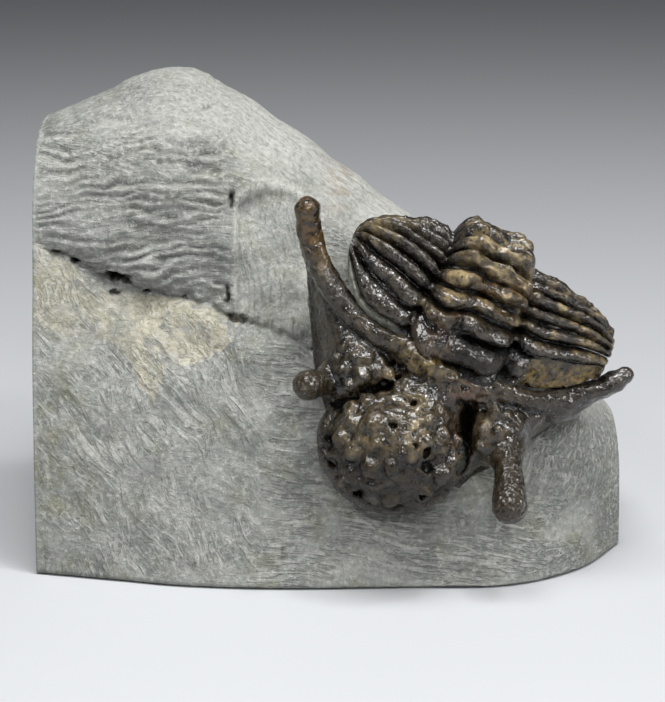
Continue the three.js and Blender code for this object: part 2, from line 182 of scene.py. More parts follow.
def matrix_of(place, turn):
    return Matrix.Translation(Vector(place)) @ turn.to_matrix().to_4x4()


def moved(matrix, points):
    m = np.array(matrix)
    return points @ m[:3, :3].T + m[:3, 3]


ANIMAL = matrix_of(ANIMAL_PLACE, ANIMAL_TURN)
HEAD = ANIMAL @ Matrix.Rotation(HEAD_TILT, 4, "X")


# ---- Meshes ----


def grid_faces(rows, columns):
    """Quads of a grid of rows by columns of points, closed round from the last row to the first."""
    i, j = np.meshgrid(np.arange(rows), np.arange(columns - 1), indexing="ij")
    a = i * columns + j
    b = ((i + 1) % rows) * columns + j
    return np.stack([a, a + 1, b + 1, b], -1).reshape(-1, 4)


def new_object(name, points, faces):
    """An object from points in design millimetres; a face whose last two corners agree is a triangle."""
    data = bpy.data.meshes.new(name)
    a, b, c, d = (points[faces[:, k]] for k in range(4))
    inside_out = (np.cross(b - a, c - a) * a).sum() + (np.cross(c - a, d - a) * a).sum() < 0
    ordered = [f[:3] if f[2] == f[3] else f for f in faces.tolist()]
    if inside_out:
        ordered = [f[::-1] for f in ordered]
    data.from_pydata(((points + SHIFT) * MM).tolist(), [], ordered)
    data.validate()
    made = bpy.data.objects.new(name, data)
    bpy.context.scene.collection.objects.link(made)
    return made


def design_points(obj):
    where = np.empty(len(obj.data.vertices) * 3)
    obj.data.vertices.foreach_get("co", where)
    return where.reshape(-1, 3) / MM - SHIFT


def add_fields(obj, fields):
    """Stores numbers at the points of a piece, which its material reads by name."""
    for name, values in fields.items():
        made = obj.data.attributes.new(name, "FLOAT", "POINT")
        made.data.foreach_set("value", np.asarray(values, dtype=np.float32))


def finish_piece(obj, node, material):
    obj.data.polygons.foreach_set("use_smooth", np.ones(len(obj.data.polygons), dtype=bool))
    obj.data.materials.append(material)
    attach(obj, "root")
    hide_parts(node)


# ---- The thorax's shape, in the animal's axes ----


def bend_angle(t):
    return FIRST_ANGLE + BEND_TURN * np.minimum(t, BEND_END) + TAIL_TURN * np.maximum(t - BEND_END, 0)


def on_body(x, t, height):
    """Points at x across, segment t and height: round a bend first, then along a wider one at the tail."""
    x, t, height = np.broadcast_arrays(x, t, height)
    angle = bend_angle(t)
    start = bend_angle(BEND_END)
    radius = np.where(t > BEND_END, TAIL_STEP / TAIL_TURN, 0)
    y = height * np.sin(angle) + radius * (np.sin(angle) - math.sin(start))
    z = height * np.cos(angle) + radius * (np.cos(angle) - math.cos(start))
    return np.stack([x, y, z], -1)


def axis_half_width(t):
    return AXIS_HALF_WIDTH - 0.12 * np.maximum(t, 0)


def half_width(x, t):
    return np.where(x < 0, LEFT_HALF_WIDTH, RIGHT_HALF_WIDTH) - 0.25 * np.maximum(t - 5, 0)


def swept(x, t):
    """Where a rib has got to at x when its root is at segment t."""
    x, t = np.broadcast_arrays(x, t)
    axis = axis_half_width(t)
    out = np.clip((np.abs(x) - axis) / (half_width(x, t) - axis), 0, 1)
    steady = np.where(x < 0, ramp(t, LEFT_SWEEP), ramp(t, RIGHT_SWEEP))
    tip = np.where(x < 0, LEFT_TIP_SWEEP, RIGHT_TIP_SWEEP)
    skewed = ramp(t, RING_SKEW) * between(x, -3, 0.5, 5, 7.5)
    wander = 0.13 * noise(plane(x, 1.6 * t, 3), (4, 3, 1), 33)
    return t + steady * out + (tip - steady) * out**6 + skewed + wander


def back_height(x, t):
    """Height of the smooth back: a raised axis, and sides that fall in an arc to the tips."""
    across = np.abs(x)
    furrow = ramp(t, FURROW_RADIUS)
    axis = axis_half_width(t)
    ring = furrow + AXIS_RISE * np.sqrt(np.clip(1 - (across / axis) ** 3, 0, 1))
    share = np.clip((across - axis) / (half_width(x, t) - axis), 0, 1)
    side = np.sqrt(TIP_RADIUS**2 + (furrow**2 - TIP_RADIUS**2) * (1 - share**2))
    return np.where(across < axis, ring, side)


# ---- The block ----

# The joint across the front, from left to right: (x, z).
JOINT = [
    (-28.7, 32.7), (-26.8, 31.3), (-24.5, 30.1), (-22.4, 28.2), (-18.2, 27.1), (-14.2, 26.8),
    (-11.8, 26.3), (-9.3, 25.2), (-3.9, 23.5), (-2.4, 22.9), (4, 21),
]
# Pits along it and beside the scooped channel: (x, z, half width, half height, depth).
PITS = [
    (-26.2, 31.3, 0.8, 0.25, 0.8), (-24.6, 30.3, 0.45, 0.35, 1.1), (-20.5, 28.7, 1.15, 0.5, 2.0),
    (-19.6, 28.2, 0.5, 0.3, 1.4), (-20.6, 27.2, 0.8, 0.28, 0.35), (-17.7, 27.2, 0.28, 0.16, 0.7),
    (-13.8, 26.8, 0.3, 0.17, 0.7), (-9.5, 27, 0.26, 1.2, 0.7), (-9.05, 25.2, 0.55, 0.32, 1.1),
    (-8, 25.2, 0.32, 0.25, 0.9), (-9.1, 36.3, 0.22, 0.8, 0.8), (-10.5, 22.4, 0.3, 0.22, 0.5),
]
# The lower edge of the pale rock under the joint: (x, z).
CREAM_EDGE = [
    (-28.3, 23.8), (-22.8, 23.2), (-19.9, 22.6), (-18, 18.7), (-16.6, 17.2), (-15.2, 20.7),
    (-12.6, 20.9), (-9.9, 22), (-8.2, 24.7), (-7.5, 26),
]
# A brown stain on the slope: (x, z, half width, half height). A short dark scar near the foot: (x, z).
BROWN_STAIN = (1.8, 37, 1.6, 2.6)
SCAR = (-4, 3.2)
# Families of tool strokes: angle, spacing, length, height, and how much of each place is theirs.
STROKES = [
    (6, 0.5, 2.6, 0.16, lambda x, z: step(-x, 8.5, 10.5) * step(z - ramp(x, JOINT), 0, 1)),
    (-52, 0.8, 4, 0.2, lambda x, z: step(-x, 4, 9) * step(ramp(x, JOINT) - z, 1, 4)),
    (-20, 0.6, 3.5, 0.12, lambda x, z: between(x, -9, -4, 8, 14) * between(z, 3, 7, 19, 23)),
    (88, 0.5, 3, 0.1, lambda x, z: between(x, -9, -8.4, -3, 0) * between(z, 22, 25, 37, 38)),
    (2, 0.55, 4, 0.12, lambda x, z: step(9 - z, 0, 5) * step(16 - x, 0, 8)),
    (-36, 0.8, 5, 0.14, lambda x, z: step(x, -9, -4) * step(z - 38 + 0.72 * (x + 8), 0, 3)),
]
SWEEP = (9, 17)  # the strokes at the right run round this point


def sweep_mask(x, z):
    return step(x, 8, 15) * step(24 - z, 0, 3)


ROW_SPACING = 1.05
ROW_HEIGHT = 0.68


def row_relief(x, z):
    """Relief of the wavy rows of cuts on the upper rock at the left."""
    at = plane(x, z)
    phase = (z - 0.1 * x) / ROW_SPACING + 1.5 * noise(at, (8, 4, 1), 66) + 0.5 * noise(at, (2.2, 1.3, 1), 67)
    share = phase - np.floor(phase)
    profile = step(share, 0, 0.62) - step(share, 0.62, 1)
    strength = 0.55 + 0.75 * noise(at, (5, 2, 1), 68)
    mask = step(-x, 8.5, 10.5) * step(z - ramp(x, JOINT), 0.3, 2) * (1 - 0.7 * step(z, 41, 46))
    return ROW_HEIGHT * (profile - 0.5) * np.clip(strength, 0.1, 1.3) * mask


def stroke_relief(x, z):
    """Outward relief of the tool strokes at x, z on the front."""
    total = row_relief(x, z)
    wander = 0.55 * noise(plane(x, z), 9, 31)
    for index, (angle, spacing, length, height, mask) in enumerate(STROKES):
        a = angle * DEG
        along = x * math.cos(a) + z * math.sin(a)
        across = -x * math.sin(a) + z * math.cos(a) + wander
        value = noise(plane(along, across, 3 * index), (length, spacing, 1), 40 + index, 2)
        total += height * mask(x, z) * value
    along = 14 * np.arctan2(z - SWEEP[1], x - SWEEP[0])
    across = np.hypot(x - SWEEP[0], z - SWEEP[1])
    value = noise(plane(along, across), (4.5, 0.6, 1), 55, 2)
    return total + 0.08 * sweep_mask(x, z) * value


def channel_mask(x, z):
    """1 in the channel scooped out of the slope at the left of the animal."""
    top = 37.8 - 0.12 * (x + 5.5) ** 2
    return step(x, -9.1, -8.3) * step(top - z, -0.3, 1.3) * step(z, 22, 27) * step(1 - x, 0, 4)


def front_relief(x, z):
    """How far the front of the block stands out from its smooth form, in millimetres."""
    at = plane(x, z)
    waves = 0.25 * np.sin(0.55 * x + 0.8 * z) + 0.2 * np.sin(1.1 * z - 0.35 * x + 1)
    jag = 0.5 * noise(at, 2.2, 3, 2) + 0.35 * noise(at, 0.8, 4)
    from_joint = z - ramp(x, JOINT) - jag
    along_joint = step(4 - x, 0, 3)
    groove = 0.75 * bell(from_joint, 1.5) + 0.5 * bell(from_joint - 0.1, 0.4)
    ledge = 0.35 * step(-from_joint, -0.2, 0.3) * step(from_joint, -6, -1)
    channel = channel_mask(x, z)
    lip = np.clip(4 * channel * (1 - channel), 0, 1) * step(x, -10, -8) * step(2 - x, 0, 3)
    out = waves - groove * along_joint + ledge * along_joint - 0.7 * channel + 0.5 * lip
    out += 0.12 * noise(at, 3.1, 5, 3) + 0.07 * noise(at, 0.8, 6, 3)
    out += stroke_relief(x, z)
    warp = 0.5 * noise(at, 0.8, 8, 2)
    for pit_x, pit_z, wide, tall, deep in PITS:
        reach = oval(x - pit_x, z - pit_z, wide, tall) + warp
        out -= deep * step(1.25 - reach, 0, 0.55)
    return out


COLUMNS = 268
FRONT_ROWS = 236
BACK_ROWS = 22
BASE_ROWS = 10
CAP_RINGS = 8


def front_rows():
    """Rows of points up the front and over the top, with their relief."""
    sections = np.array([[(x, y, z) for y, z in profile] for x, profile in BLOCK_SECTIONS], dtype=float)
    profiles = np.stack([catmull(section, np.linspace(0, 1, FRONT_ROWS)) for section in sections])
    shares = np.linspace(0, 1, 2001)
    fine = catmull(profiles[:, :1], shares)[:, 0, 0]
    across = np.interp(np.linspace(fine[0], fine[-1], COLUMNS), fine, shares)
    front = catmull(profiles, across).transpose(1, 0, 2)
    normal = np.cross(np.gradient(front, axis=1), np.gradient(front, axis=0))
    normal /= np.linalg.norm(normal, axis=-1)[..., None]
    edge_rows = np.sin(np.pi * np.linspace(0, 1, FRONT_ROWS)) ** 0.5
    edge_columns = np.sin(np.pi * np.clip(np.linspace(0, 1, COLUMNS) * 4, 0, 0.5)) ** 0.5
    edge_columns *= np.sin(np.pi * np.clip(np.linspace(1, 0, COLUMNS) * 8, 0, 0.5)) ** 0.5
    relief = front_relief(front[..., 0], front[..., 2]) * edge_rows[:, None]
    relief = np.where(edge_columns < 1, np.minimum(relief, 0.05) * edge_columns, relief)
    return front + normal * (relief - 0.05 * edge_rows[:, None])[..., None]


def back_rows(crest, heel):
    """Rows of points down the rough back."""
    down = np.linspace(0, 1, BACK_ROWS + 1)[1:-1, None, None]
    back = crest * (1 - down) + heel * down
    rough = noise(back, (3, 3, 3), 12, 3) * 0.35 + 0.25 * ridged(back, (9, 4, 1.2), 13, 2)
    back[..., 1] += (rough - 0.6) * np.sin(np.pi * down[..., 0]) * 0.9
    return back


def base_rows(heel, foot):
    """Rows of points under the block, let down a little where it stands."""
    share = np.linspace(0, 1, BASE_ROWS + 1)[1:-1, None, None]
    base = heel * (1 - share) + foot * share
    inside = (base[..., 0] > STAND["left"]) & (base[..., 0] < STAND["right"])
    inside &= (base[..., 1] > STAND["front"]) & (base[..., 1] < STAND["back"])
    base[..., 2] = np.where(inside, -STAND["drop"], 0)
    return base


def end_cap(edge, outer, first, inwards):
    """Points and faces over an end of the block: edge has the points numbered outer, and the new ones start
    at first. inwards is 1 at the left end and -1 at the right."""
    middle = edge.mean(0)
    count = len(edge)
    points, faces = [], []
    for share in np.linspace(0, 1, CAP_RINGS + 1)[1:-1]:
        ring = edge * (1 - share) + middle * share
        ring[:, 0] += inwards * (0.03 + 0.05 * (1 + noise(ring, (1, 6, 0.5), 17, 2)))
        points.append(ring)
        index = first + np.arange(count)
        quads = np.stack([outer, np.roll(outer, -1), np.roll(index, -1), index], -1)
        faces.append(quads[:, ::inwards])
        outer = index
        first += count
    tip = np.full(count, first)
    corners = (outer, np.roll(outer, -1))[::inwards]
    faces.append(np.stack([*corners, tip, tip], -1))
    return np.concatenate([*points, middle[None]]), np.concatenate(faces)


def block_mesh():
    """Points and faces of the block, in design millimetres."""
    top = front_rows()
    crest = top[-1]
    heel = crest * [1, 1, 0] + [0, 0.4, 0]
    rings = np.concatenate([top, back_rows(crest, heel), heel[None], base_rows(heel, top[0])])
    count = len(rings)
    points = [rings.reshape(-1, 3)]
    faces = [grid_faces(count, COLUMNS)]
    used = count * COLUMNS
    for column, inwards in ((0, 1), (COLUMNS - 1, -1)):
        cap_points, cap_faces = end_cap(rings[:, column], np.arange(count) * COLUMNS + column, used, inwards)
        points.append(cap_points)
        faces.append(cap_faces)
        used += len(cap_points)
    points = np.concatenate(points)
    points[:, 0] = np.maximum(points[:, 0], BLOCK_LEFT)
    points[:, 1] = np.minimum(points[:, 1], BLOCK_BACK)
    return points, np.concatenate(faces)


def skin_mesh(rings):
    """A closed skin over rings (rings, sides, 3), with a fan over each end."""
    count, sides = rings.shape[:2]
    ends = [rings[0].mean(0), rings[-1].mean(0)]
    points = np.concatenate([rings.reshape(-1, 3), ends])
    quads = grid_faces(sides, count)
    # A row of these quads runs along the rings, and a column is one ring.
    faces = [(quads % count) * sides + quads // count]
    around = np.arange(sides)
    after = np.roll(around, -1)
    first = np.full(sides, count * sides)
    faces.append(np.stack([after, around, first, first], -1))
    last = (count - 1) * sides
    faces.append(np.stack([last + around, last + after, first + 1, first + 1], -1))
    return points, np.concatenate(faces)


# Places across the rock inside the thorax, with equal numbers of points between them.
CORE_STATIONS = [-12, -9.5, -7, -4.7, -3, 3, 4.7, 7.2, 10, 12.6]
CORE_COLUMNS = 70
# How far the cores reach into the block: along y under the thorax, and along z under the head.
CORE_FOOT = -13
CORE_EDGES = (-9, 4)  # z along the thorax core's lower edges
CORE_ROOM = 0.35  # between a core and the shell above it


def core_mesh():
    """The rock inside the thorax and the tail, in the animal's axes, down into the block."""
    last = len(CORE_STATIONS) - 1
    x = np.interp(np.linspace(0, last, CORE_COLUMNS), np.arange(last + 1), CORE_STATIONS)[:, None]
    t = np.linspace(-0.5, SEGMENTS + PYGIDIUM_LENGTH, 84)[None, :]
    narrow = x * (1 - 0.025 * np.maximum(t - 7, 0))
    height = back_height(narrow, t) - SHELL - CORE_ROOM - 0.6 * np.maximum(t - SEGMENTS, 0)
    arc = on_body(narrow, np.broadcast_to(t, height.shape), np.maximum(height, 0.6))
    arc += (0.25 * noise(arc, 2.2, 61, 3))[..., None] * [0, 0, 1]
    feet = [0.94 * x * [1, 0, 0] + [0, CORE_FOOT, z] for z in CORE_EDGES]
    return skin_mesh(np.concatenate([arc, np.stack(feet, 1)], 1))


def head_core_mesh():
    """The rock under the head, in the head's axes, from its back down into the block."""
    x = np.linspace(-13.8, 13.8, CORE_COLUMNS)[:, None]
    share = np.linspace(0.1, 0.87, 40)[None, :]
    across = np.abs(x)
    y = ramp(across, REAR, 1) * (1 - share) + ramp(across, RIM, 1) * share
    top = cheek_height(x, y)[0] - SHELL - CORE_ROOM
    back = np.stack([x + 0 * y, y, top], -1)
    back += (0.2 * noise(back, 1.8, 62, 3) - 0.1)[..., None] * [0, 0, 1]
    feet = back[:, [-1, 0]] * [1, 1, 0] + [0, 0, CORE_FOOT]
    return skin_mesh(np.concatenate([back, feet], 1))


# ---- The thorax ----

RING_COLUMNS = 300
TOP_ROWS = 38
UNDER_ROWS = 6
# Pale, worn spots on the thorax: (x, segment, reach in x, reach in segments, strength).
THORAX_SPOTS = [
    (-2.6, 4.1, 1.3, 0.35, 1.2), (-2.2, 5.1, 1.3, 0.35, 1.1), (-1.9, 6.15, 1.4, 0.35, 1),
    (-2.4, 3.2, 1.3, 0.4, 0.9), (-4.2, 2, 1, 0.4, 0.6), (2, 3.9, 1, 0.3, 1.3), (0.5, 5, 2, 0.35, 0.8),
    (2.4, 5.6, 1.6, 0.5, 0.8), (4.4, 5.3, 1, 0.3, 0.9), (9, 4.4, 1.6, 0.5, 0.7), (12.2, 3.2, 1.6, 0.6, 0.9),
    (-0.4, 2.5, 1.4, 0.3, 0.6), (4.5, 2.9, 1.2, 0.3, 0.5), (-11.3, 4, 1.8, 1.2, 0.8),
    (-9.6, 6.5, 2, 1, 0.6), (13.6, 1.8, 1, 0.6, 0.8),
]
# How far a ring is turned against the ribs, in segments per millimetre across.
RING_TURN = {1: 0.01, 2: 0.05, 3: 0.02, 4: -0.02, 5: 0.015, 6: -0.02}
# Nodules on the rings: (x, segment, radius, rise).
NODULES = [
    (2, 3.9, 0.85, 0.6), (4.3, 4.05, 1.5, 0.9), (4.4, 5.3, 1, 0.55), (-2.5, 4.1, 1.2, 0.5),
    (-2.2, 5.1, 1.1, 0.45), (-1.9, 6.15, 1.1, 0.4), (-2.2, 3.2, 1.2, 0.45), (0, 2.8, 0.9, 0.35),
    (0.6, 5, 1.1, 0.4), (2.6, 6.2, 1, 0.4), (3.1, 1.05, 1.2, 0.3), (5.2, 3, 0.9, 0.35),
    (-3.4, 1.3, 1.1, 0.4),
]
# The folded and the knobbly parts of the rings: (x, segment, reach in x, reach in segments).
FOLDED = (-2.1, 1.7, 1.7, 0.9)
KNOBBLY = (1.8, 4.1, 3, 1.5)
# The pit in the middle of a nodule: (x, segment, radius, depth).
DIMPLE = (4.4, 5.3, 0.4, 0.5)


def patch(x, t, place):
    """1 in the middle of a part of the thorax, 0 away from it."""
    middle_x, middle_t, wide, long = place
    return np.exp(-((((x - middle_x) / wide) ** 2 + ((t - middle_t) / long) ** 2) ** 2))


def arch(x, half):
    """A round arch: 1 in the middle, 0 from half onwards."""
    return np.sqrt(np.clip(1 - (x / half) ** 2, 0, 1))


def thorax_relief(x, t, number):
    """Height of a segment over the smooth back at x, t, how much it is a crest there, and its knobs."""
    local = t - number
    across = np.abs(x)
    axis = axis_half_width(t)
    line = plane(x, np.full_like(x, 3.3 * number))
    within = np.clip(1 - (2 * local) ** 2, 0, 1)
    on_ring = step(axis - across, -0.5, 0.5)
    wander = 0.1 * noise(line, (3, 1, 1), 70 + number) + on_ring * RING_TURN.get(number, 0) * x
    tau = local + wander * within
    swell = 1 + 0.18 * noise(line, (1.9, 1, 1), 90 + number, 2)
    rib = -0.7 + 1.5 * swell * arch(tau + 0.055, 0.43)
    rib += 0.4 * bell(tau - 0.43, 0.045) * step(noise(line, (2.6, 1, 1), 80 + number), -0.5, 0.2)
    place = plane(x, 2.1 * t)
    pushed = place + 0.6 * np.stack([noise(place, 1.7, 34), noise(place, 1.7, 35), 0 * x], -1)
    folded, knobbly = patch(x, t, FOLDED), patch(x, t, KNOBBLY)
    ring = -0.95 + 1.75 * swell * arch(tau + 0.02, 0.4)
    ring += 0.4 * noise(line, (1.7, 1, 1), 60 + number) * arch(tau, 0.45)
    ring = ring * (1 - 0.45 * knobbly - 0.5 * folded) + 0.75 * knobbly * noise(pushed, (1.5, 1.1, 1), 36, 2)
    ring += 0.5 * folded * ridged(pushed, (0.9, 3.4, 1), 37) + 0.13 * ridged(pushed, (2.6, 0.7, 1), 38)
    height = RIB_RISE * (rib * (1 - on_ring) + ring * on_ring)
    knob = bell(across - 0.62 * axis, 1.25) * arch(tau, 0.4) * np.where(x < 0, 1, 0.6)
    neck = bell(across - 1.04 * axis, 0.45)
    height += 0.45 * knob * (1 - folded) - 0.7 * neck * (1 - 0.4 * bell(tau, 0.3))
    for spot, segment, radius, rise in NODULES:
        height += rise * bell(np.hypot(x - spot, 2.3 * (t - segment)), radius)
    spot, segment, radius, depth = DIMPLE
    dimple = bell(np.hypot(x - spot, 2.3 * (t - segment)), radius)
    height -= depth * dimple + 0.06 * (1 - on_ring) * ridged(pushed, (0.8, 1.1, 1), 39)
    return height, step(height, -0.5, 0.75), knob


def first_segment_relief(relief, crest, x, t, tau):
    """The first segment's relief and crest with the band in front of it and the hollow at its right."""
    front = step(-tau, 0.45, 0.6)
    collar = arch(tau + 0.78, 0.26)
    band = 0.1 + 0.5 * collar - 0.9 * step(-tau, 0.85, 1.05)
    band += 0.5 * step(-x, 5.5, 7) * (1 - collar)
    relief = relief * (1 - front) + band * front
    crest = crest * (1 - front) + 0.55 * front
    hollow = between(x, 6.6, 8, 13.4, 14.4) * step(0.4 - tau, 0, 0.15)
    scoop = -0.25 - 0.5 * arch(tau + 0.3, 0.75) + 0.1 * noise(plane(x, 2 * t), 1.4, 19, 2)
    relief = relief * (1 - hollow) + scoop * hollow
    crest = crest * (1 - hollow) + 0.8 * hollow
    return relief, crest, front, hollow


def thorax_stains(x, t, points, crest, knob):
    """The pale, amber and rusty parts of a segment's upper side."""
    pale = np.zeros_like(x)
    for spot_x, spot_t, reach, along, strength in THORAX_SPOTS:
        away = oval(x - spot_x, t - spot_t, reach, along)
        pale = np.maximum(pale, strength * np.exp(-(away**3)))
    pale += 0.35 * knob * step(noise(points, 2.5, 21), -0.3, 0.5)
    speckle = 0.9 * step(x, 4, 9) * step(noise(points, 1.7, 63, 3), -0.2, 0.4)
    pale = np.maximum(pale, speckle * step(t, 1.7, 2.6) * step(crest, 0.3, 0.8))
    on_axis = step(axis_half_width(t) - np.abs(x), 0, 1)
    pale += 0.7 * on_axis * step(noise(points, 1.9, 64, 3), -0.25, 0.35) * step(t, 2.5, 3.5)
    amber = 0.85 * patch(x, t, KNOBBLY) * step(noise(points, 1.6, 24, 3), -0.35, 0.35)
    rust = 0.7 * patch(x, t, FOLDED) * step(noise(points, 1.3, 25, 2), -0.6, 0.3)
    return {"crest": crest, "pale": pale, "amber": amber, "rust": rust}


def at_skin_points(values, under=0):
    """Values on the upper sides of a skin's rings, with 0 on its under side and at its two ends."""
    padded = np.concatenate([values, np.zeros((len(values), under))], 1)
    return np.append(padded.reshape(-1), [0, 0])


def segment_mesh(number):
    """Points, faces and fields of a segment: its upper side, closed by an under side and rounded edges."""
    share = np.sin(np.linspace(-1, 1, RING_COLUMNS) * 1.45) / math.sin(1.45)
    share = 0.5 * share + 0.5 * np.linspace(-1, 1, RING_COLUMNS)
    x = (share * 0.985 * half_width(share, number))[:, None]
    out = np.abs(share)[:, None]
    close = np.sqrt(np.clip(1 - (np.maximum(out - 0.965, 0) / 0.035) ** 2, 0.01, 1))
    width = (1 - 0.03 * out**8) * (0.3 + 0.7 * close)
    tau = np.linspace(-0.495, 0.495, TOP_ROWS)[None, :] * width
    if number == 1:
        tau = np.concatenate([np.linspace(-1.05, -0.52, 14)[None, :] * width, tau], 1)
    t = number + tau
    x_top = np.broadcast_to(x, tau.shape)
    relief, crest, knob = thorax_relief(x_top, t, number)
    if number == 1:
        relief, crest, front, hollow = first_segment_relief(relief, crest, x_top, t, tau)
    at = swept(x_top, t)
    smooth = back_height(x, at)
    sag = (1 - close) * 0.8
    top = smooth + relief * (0.35 + 0.65 * close) - sag
    points = on_body(x_top, at, top)
    rough = 0.1 * noise(points, 1.5, 7, 2) + 0.05 * noise(points, 0.55, 8, 2) + 0.3 * noise(points, 3.6, 9)
    edge = np.sqrt(np.clip(1 - (np.abs(np.linspace(-1, 1, tau.shape[1]))[None, :]) ** 6, 0, 1))
    points = on_body(x_top, at, top + rough * edge)
    under_tau = np.linspace(0.46, -0.46, UNDER_ROWS)[None, :] * width
    x_under = np.broadcast_to(x, under_tau.shape)
    at = swept(x_under, number + under_tau)
    thick = SHELL * (0.55 + 0.45 * close) * (1 - 0.4 * out**4)
    under = on_body(x_under, at, back_height(x, at) - sag - thick)
    mesh_points, faces = skin_mesh(np.concatenate([points, under], 1))
    fields = thorax_stains(x_top, t, points, crest, knob)
    if number == 1:
        fields["yellow"] = hollow * step(noise(points, 1.8, 29, 3), -1.1, 0.1)
        fields["shade"] = 0.9 * step(x_top, -1.6, 0) * step(6.5 - x_top, 0, 1) * (1 - hollow)
        fields["stone"] = front * step(-x_top, 5.5, 7) * step(13 + x_top, 0, 1)
    return mesh_points, faces, {name: at_skin_points(v, UNDER_ROWS) for name, v in fields.items()}


PYGIDIUM_RIBS = 4
PYGIDIUM_ROWS = 130
PYGIDIUM_SIDES = 190


def pygidium_mesh():
    """Points, faces and fields of the tail, as rings that shrink towards its rear edge."""
    s = np.linspace(0, 1, PYGIDIUM_ROWS)[:, None]
    angle = 2 * np.pi * np.linspace(0, 1, PYGIDIUM_SIDES, endpoint=False)[None, :]
    t = SEGMENTS + 0.52 + PYGIDIUM_LENGTH * s
    reach = np.sqrt(np.maximum(1 - s**2.2, 0.012))
    side = -np.cos(angle)
    full = 0.95 * half_width(side, SEGMENTS)
    x = side * full
    height = back_height(x, np.full_like(x, SEGMENTS)) - 1.2 * s
    upper = np.sin(angle) > -1e-6
    wave = np.cos(2 * np.pi * (PYGIDIUM_RIBS * s - 0.5 - 0.12 * np.abs(side) ** 2))
    rib = 0.45 * (1 - s) * wave * (1 - side**6)
    neck = 0.45 * bell(np.abs(x) - 1.05 * axis_half_width(SEGMENTS), 0.5) * (1 - s)
    top = height + rib - neck
    at = swept(x * reach, t)
    where = on_body(x * reach, at, top)
    rough = 0.12 * noise(where, 1.5, 7, 2) + 0.06 * noise(where, 0.6, 8, 2)
    edge = np.clip(np.sin(angle), 0, 1) ** 0.5
    lower = np.maximum(height - SHELL, 1) + 0 * s
    radius = np.where(upper, top + rough * edge, lower)
    rings = on_body(x * reach, at, radius)
    points, faces = skin_mesh(rings)
    crest = np.where(upper, step(rib, -0.3, 0.4), 0)
    pale = np.where(upper, 0.5 * step(noise(rings, 2.4, 22, 2), 0.1, 0.7), 0)
    return points, faces, {"crest": at_skin_points(crest), "pale": at_skin_points(pale)}


# ---- The head, in its own axes ----

# Edges of the cheeks, the same at both sides: (distance across, y, z).
RIM = [
    (0, -23.2, -2.2), (3, -22.7, -2.2), (5.5, -20.8, -2.1), (7, -18.2, -2.4), (8, -16.2, -2.6),
    (10, -14.4, -2.9), (11.7, -11.2, -3), (13.2, -8.4, -2.8), (14.6, -5.8, -2.1), (16.4, -2.6, -0.8),
]
REAR = [
    (0, -8.2, 4.6), (4.5, -7.2, 3.1), (8, -7, 2.7), (10.7, -6.1, 2.1), (13.2, -4.5, 1.4), (16.4, -1.6, 1.1),
]
# Rise of the cheeks between those edges: (distance across, rise).
CROWN = [(0, 1.2), (4.2, 1.4), (6, 3.6), (8.2, 4.4), (10.5, 3.6), (13, 1.9), (16.4, 0.3)]
BORDER_FURROW = 1.3
RIM_RISE = 1
RIM_AT = 0.95
HEAD_HALF_WIDTH = 16.2
BULB_CENTRE = np.array([-1.25, -16.1, 2.2])
BULB_RADII = np.array([6.15, 5.45, 5.5])
# The raised edge round its front.
BULB_RIM_CENTRE = (-1.4, -16.3, 1.1)
BULB_RIM_RADII = (6.7, 5.95)
# Lines of the head's limbs. The first is the same at both sides as far as the spines.
BORDER = [(4.2, -7.2, 3), (8.1, -7, 2.9), (10.7, -6.1, 2.4), (13.2, -4.5, 1.7), (15.2, -3, 1.4)]
LEFT_SPINE = [(-17.2, -0.7, 1.8), (-18.2, 1.1, 2.7)]
RIGHT_SPINE = [(16.2, -1.8, 1.2), (16.9, -0.7, 1.1)]
OCCIPITAL_RING = [(-4.6, -7.2, 3.0), (-2.4, -7.8, 4.3), (2, -8.3, 4.0), (4.6, -7.8, 2.8)]
RIGHT_CORNER = [(11.8, -6.3, 1.2), (14.4, -3.8, 0.8), (16.2, -1.8, 0.8)]
BULB_NECK = [(0, -8.4, 0.9), (-0.5, -11.5, 1.2), (-1.2, -15, 1.8)]
RIGHT_STALK = [(7.6, -10.8, 0.7), (9.3, -13.3, 3.5), (10.8, -16.9, 5.4)]
LEFT_STALK = [(-8.4, -12, 0), (-9.9, -13.3, 2.3), (-11.5, -14.2, 4.1)]
FOLD = [(0, -8, 4.9), (0.9, -8.6, 4.6), (2.3, -8.6, 4.3), (4.3, -8, 4.1)]
# The node on the occipital ring, and the hollow at its right: (centre, radii).
OCCIPITAL_NODE = ((-2.2, -7.8, 4.7), (1.5, 1.0, 1.1))
OCCIPITAL_HOLLOW = ((2.4, -8.7, 5.2), (2.1, 0.9, 0.9))
# The slots beside the bulb.
RIGHT_SLOT = [(3.9, -10.3, 3.7), (4.7, -12.6, 3.1), (5.7, -15.7, 2)]
LEFT_SLOT = [(-3.5, -10.3, 3.2), (-5.3, -12.3, 2.9), (-7.5, -14.9, 1.9)]
SLOT_DEPTHS = (0, 1.2, 2.4, 3.6)
# Pits in the bulb: (x, y, radius, depth).
BULB_PITS = [
    (-3, -14.2, 0.5, 0.6), (-6, -19.8, 0.6, 0.35), (-4, -21.5, 0.5, 0.35), (-1.7, -11.6, 0.4, 0.5),
    (0.4, -12.2, 0.35, 0.5), (3.5, -11.9, 0.35, 0.5), (4.3, -14.1, 0.45, 0.7), (1.2, -15.3, 0.5, 0.5),
    (2.1, -16.8, 0.4, 0.5), (-0.2, -15.2, 0.3, 0.35), (2.6, -19.2, 0.45, 0.35),
]
BULB_TUBERCLES = 52  # places for them, some of which stay empty
# A dent in it: (x, y, radius, depth).
BULB_DENT = (1.8, -16, 1.3, 0.55)
# The lobes that the stalks stand on: (centre, radii).
LEFT_LOBE = ((-7.1, -11.1, 0.6), (3.4, 3.5, 3.5))
RIGHT_LOBE = ((7.2, -10.7, 0.6), (3.5, 3.6, 3.4))
